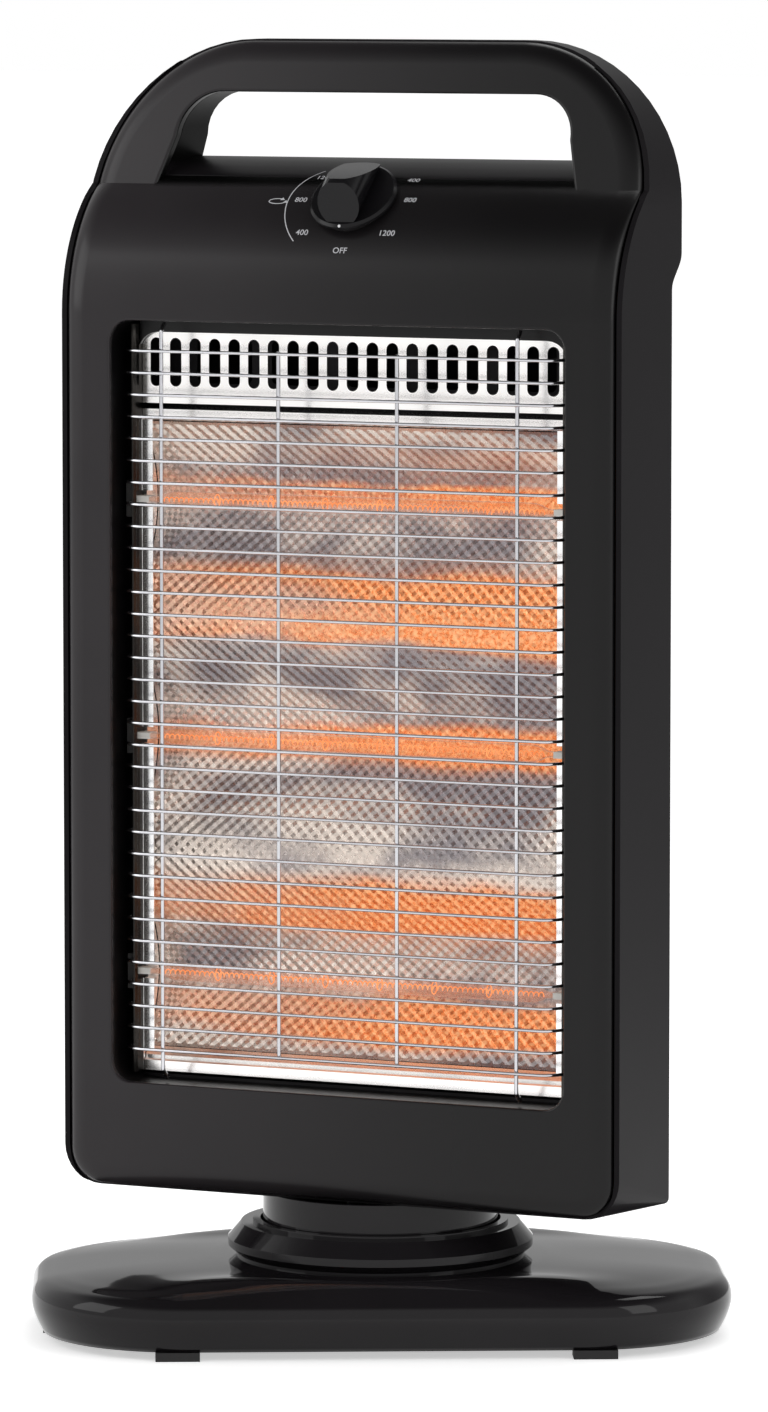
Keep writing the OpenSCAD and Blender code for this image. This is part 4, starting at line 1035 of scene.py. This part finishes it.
def word(body, u, v):
    """A word in the built-in font, set level with its middle at (u, v)."""
    letters = bpy.data.curves.new("word", "FONT")
    letters.body, letters.size, letters.offset = body, LETTER, LETTER * 0.008
    letters.align_x, letters.align_y, letters.space_character = "CENTER", "CENTER", 1.02
    holder = placed("word", letters)
    mesh = worked_out(holder)
    stamp([p.co[:] for p in mesh.vertices], [list(f.vertices) for f in mesh.polygons], u, v)
    bpy.data.objects.remove(holder)


def stroke(path):
    """A line of even width along a flat path."""
    left, right, n = [], [], len(path)
    for k, p in enumerate(path):
        a, b = path[max(k - 1, 0)], path[min(k + 1, n - 1)]
        run = Vector((b[0] - a[0], b[1] - a[1])).normalized() * LINE_W / 2
        left.append((p[0] - run.y, p[1] + run.x))
        right.append((p[0] + run.y, p[1] - run.x))
    stamp(left + right, [(n + k, n + k + 1, k + 1, k) for k in range(n - 1)])


print("dial helpers: word, stroke")

# %% Numbers, arc and swing sign
ARC_R, SIGN_U, SIGN_V, SIGN_RU, SIGN_RV = 0.0334, -0.0385, -0.001, 0.0042, 0.0016
for body, angle, reach in [
    ("OFF", 270, 27.5), ("400", 222, 28), ("800", 180, 27), ("1200", 142, 27.5),
    ("OFF", 90, 24.5), ("400", 34, 28), ("800", 2, 27), ("1200", -41, 28),
]:
    turn = radians(angle)
    word(body, reach * MM * cos(turn), reach * MM * sin(turn))
span = [radians(136 + 88 * k / 40) for k in range(41)]
stroke([(ARC_R * cos(a), ARC_R * sin(a)) for a in span])
loop = [radians(60 + 290 * k / 30) for k in range(31)]
stroke([(SIGN_U + SIGN_RU * cos(a), SIGN_V + SIGN_RV * sin(a)) for a in loop])
for tip_u, tip_v, way in [(-0.0364, 0.0004, 1), (-0.0343, -0.0013, -1)]:
    stamp([(tip_u, tip_v + 0.001), (tip_u - 0.0011 * way, tip_v - 0.0007),
           (tip_u + 0.0013 * way, tip_v - 0.0006)], [(0, 1, 2)])
dial = piece("dial_print", print_points, print_faces, smooth=False)
outward = bmesh.new()
outward.from_mesh(dial.data)
for face in outward.faces:
    if face.normal.y > 0:
        face.normal_flip()
outward.to_mesh(dial.data)
outward.free()
finished(dial, "head", plastic("dial_paint", "c4c4c8", 0.45, 0.0006, 0.000004, 0.05))

# %% [markdown]
# ## The mark on the knob
# A small pale dot on the skirt's slanted edge shows where the knob points. It lies five
# hundredths of a millimetre above the edge and turns with the knob.

# %% Pointer dot
EDGE_R, EDGE_H, EDGE_LEAN, DOT_R = 0.0199, 0.0034, radians(40), 0.0007
away = Vector((0, -sin(EDGE_LEAN), cos(EDGE_LEAN)))
down = Vector((0, -cos(EDGE_LEAN), -sin(EDGE_LEAN)))
middle = Vector((0, -EDGE_R, EDGE_H)) + 0.00005 * away
round_dot = [
    KNOB @ (middle + DOT_R * (cos(a) * Vector((1, 0, 0)) - sin(a) * down))
    for a in [radians(30 * k) for k in range(12)]
]
dot = piece("pointer_dot", round_dot, [tuple(range(12))], smooth=False)
finished(dot, "knob", plastic("dot_paint", "e4e4e6", 0.4, 0.0006, 0.000004, 0.05))

# %% [markdown]
# ## Screws
# Every screw has a low head with slanted sides, a cross pressed into it, and a shank. One tree
# draws it from four sizes and puts a copy on every point, each one turned to its own angle. The
# points and sizes are read off the solids.


# %% A tree for screws
def screw_tree(finish):
    tree = Tree("screws", head_radius=0.004, head_height=0.002, shank_radius=0.002,
                length=0.01, aim=(0.0, 0.0, 0.0))
    wide, tall, long = [tree.value(k) for k in ("Head radius", "Head height", "Length")]

    def times(value, share):
        return tree.add("ShaderNodeMath", {0: value, 1: share}, operation="MULTIPLY")

    def moved(solid, z):
        spot = tree.add("ShaderNodeCombineXYZ", {"Z": z})
        return tree.add("GeometryNodeTransform", {0: solid, "Translation": spot})

    head = tree.add("GeometryNodeMeshCone", {
        "Vertices": 24, "Radius Top": times(wide, 0.82), "Radius Bottom": wide, "Depth": tall,
    })
    cut = tree.add("GeometryNodeMeshBoolean", {0: head}, operation="DIFFERENCE")
    for x, y in ((1.15, 0.22), (0.22, 1.15)):
        size = {"X": times(wide, x), "Y": times(wide, y), "Z": tall}
        bar = tree.add("GeometryNodeMeshCube", {"Size": tree.add("ShaderNodeCombineXYZ", size)})
        tree.also(moved(bar, times(tall, 0.9)), cut, 1)
    shank = tree.add("GeometryNodeMeshCylinder", {
        "Vertices": 16, "Radius": tree.value("Shank radius"), "Depth": long,
    })
    whole = tree.add("GeometryNodeJoinGeometry", {0: moved(shank, times(long, -0.5))})
    tree.also(moved(cut, times(tall, 0.5)), whole, 0)
    screws = tree.copies(tree.value("Geometry"), whole, Rotation=tree.value("Aim"))
    spin = tree.add("FunctionNodeRandomValue", {2: 0.0, 3: 3.1, "Seed": 5}, 1, data_type="FLOAT")
    twist = {"Instances": screws, "Rotation": tree.add("ShaderNodeCombineXYZ", {"Z": spin})}
    return tree.finish(tree.add("GeometryNodeRotateInstances", twist), finish, smooth=False)


SCREWS = screw_tree(FINISHES["screw"])
print("screw tree:", len(SCREWS.nodes), "nodes")


# %% Read the places off the solids
def islands(node):
    """The points of each loose solid of a node."""
    shape = bmesh.new()
    shape.from_mesh(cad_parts[node].data)
    bmesh.ops.remove_doubles(shape, verts=shape.verts, dist=0.00001)
    known, found = set(), []
    for first in shape.verts:
        todo, group = [first], []
        while todo:
            v = todo.pop()
            if v not in known:
                known.add(v)
                group.append(v.co.copy())
                todo += [edge.other_vert(v) for edge in v.link_edges]
        if group:
            found.append(group)
    shape.free()
    return found


QUARTER = pi / 2
AIMS = {
    (0, 1): (0.0, QUARTER, 0.0), (0, -1): (0.0, -QUARTER, 0.0), (1, 1): (-QUARTER, 0.0, 0.0),
    (1, -1): (QUARTER, 0.0, 0.0), (2, 1): (0.0, 0.0, 0.0), (2, -1): (pi, 0.0, 0.0),
}


def read_screw(points):
    """Where a screw's head sits, which way it faces, and its four sizes."""
    low, high = [Vector([pick(p[k] for p in points) for k in range(3)]) for pick in (min, max)]
    size, middle = high - low, (low + high) / 2
    axis = max(range(3), key=lambda k: size[k])
    others = [k for k in range(3) if k != axis]
    away = [dist([p[k] for k in others], [middle[k] for k in others]) for p in points]
    wide = max(away)
    head = [p[axis] for p, d in zip(points, away) if d > 0.99 * wide]
    side = 1 if sum(head) / len(head) > middle[axis] else -1
    tall = max(head) - min(head)
    seat = middle.copy()
    seat[axis] = min(head) if side > 0 else max(head)
    thin = max(d for p, d in zip(points, away) if abs(p[axis] - seat[axis]) > tall * 1.5)
    return seat, (axis, side), (wide, tall, thin, size[axis] - tall)


print("ways a screw can face:", len(AIMS))

# %% Screws
FASTENED = {
    "base": ["base_screws", "collar_screws", "motor_screws"],
    "head": ["arm_screws", "neck_screws", "casing_screws", "cover_screws", "tray_screws"],
}
for body, node in [(body, node) for body, nodes in FASTENED.items() for node in nodes]:
    groups = {}
    for island in islands(node):
        seat, aim, sizes = read_screw(island)
        groups.setdefault((aim, tuple(round(s, 5) for s in sizes)), []).append(seat)
    made = [
        grown(node + "_heads", piece("seats", seats, []), SCREWS, head_radius=wide,
              head_height=tall, shank_radius=thin, length=length, aim=AIMS[aim])
        for (aim, (wide, tall, thin, length)), seats in groups.items()
    ]
    whole = bmesh.new()
    for part in made:
        whole.from_mesh(part.data)
    whole.to_mesh(made[0].data)
    whole.free()
    for part in made[1:]:
        bpy.data.objects.remove(part)
    finished(made[0], body, None, [node])

# %% [markdown]
# ## Stage, lamps and world
# The heater stands on a pale floor in soft light. Glossy black shows little but reflections, so
# what stands around it decides how it looks: a white studio in front and at the sides, a
# greyer wall behind, and a dark ceiling, which gives the brow its black band. Seen directly,
# the world is plain white.

# %% World
BLACK, WHITE = (0, 0, 0, 1), (1, 1, 1, 1)
world = bpy.data.worlds.new("studio")
world.use_nodes = True
SCENE.world = world
Wire.tree = world.node_tree


def ray(kind):
    """1 for one kind of ray and 0 for the others."""
    return Wire.node("LightPath", {}, f"Is {kind} Ray")


sky = Wire.node("TexCoord", {})
side, back, height = [Wire.node("SeparateXYZ", {0: sky}, k) for k in range(3)]
seen, mirrored = ray("Camera") + ray("Transmission"), ray("Glossy")
ceiling = height.step(0.55, 0.9)
behind = back.step(0.45, 0.85) * (0.38 + 0.3 * side.step(-0.3, 0.3))
level = mirrored * (1.0 - 0.94 * ceiling) * (1 - behind) + (1 - mirrored) * 0.62
studio = seen.step(0.4, 0.6).blend(level.blend(BLACK, WHITE), WHITE)
ground = world.node_tree.nodes["Background"]
Wire.tree.links.new(studio.socket, ground.inputs["Color"])
SCENE.view_settings.view_transform = "Standard"
print("world nodes:", len(world.node_tree.nodes))


# %% Floor and lamps
def lamp(name, spot, size, power):
    """A soft lamp that faces the middle of the heater."""
    light = bpy.data.lights.new(name, "AREA")
    light.shape, light.size, light.size_y, light.energy = "RECTANGLE", *size, power
    made = placed(name, light)
    made.location = spot
    made.rotation_euler = (Vector(spot) - Vector((0, 0, 0.3))).to_track_quat("Z", "Y").to_euler()


lamp("left_softbox", (-1.9, -1.5, 1.3), (1.4, 1.8), 16)
lamp("right_softbox", (2.2, -0.6, 1.2), (0.9, 1.8), 10)
lamp("top_softbox", (0.1, 0.9, 2.2), (1.6, 0.9), 14)

floor = piece("floor", [(-30, -30, 0), (30, -30, 0), (30, 30, 0), (-30, 30, 0)], [(0, 1, 2, 3)])
pale, shader = start(
    "pale_floor", Roughness=0.7, Specular_IOR_Level=0.1, Emission_Strength=1.0
)
mirrored = ray("Glossy")
dim = mirrored * along("Y").step(0.2, 1.5) * 0.5
shown = ray("Camera") + mirrored - dim
tone = noise(place(), 0.4).step(0.3, 0.7).blend(rgb("f2f2f2"), rgb("f6f6f6"))
join(shader, Base_Color=dim.blend(tone, BLACK),
     Emission_Color=shown.blend(BLACK, (0.5, 0.5, 0.5, 1)))
floor.data.materials.append(pale)
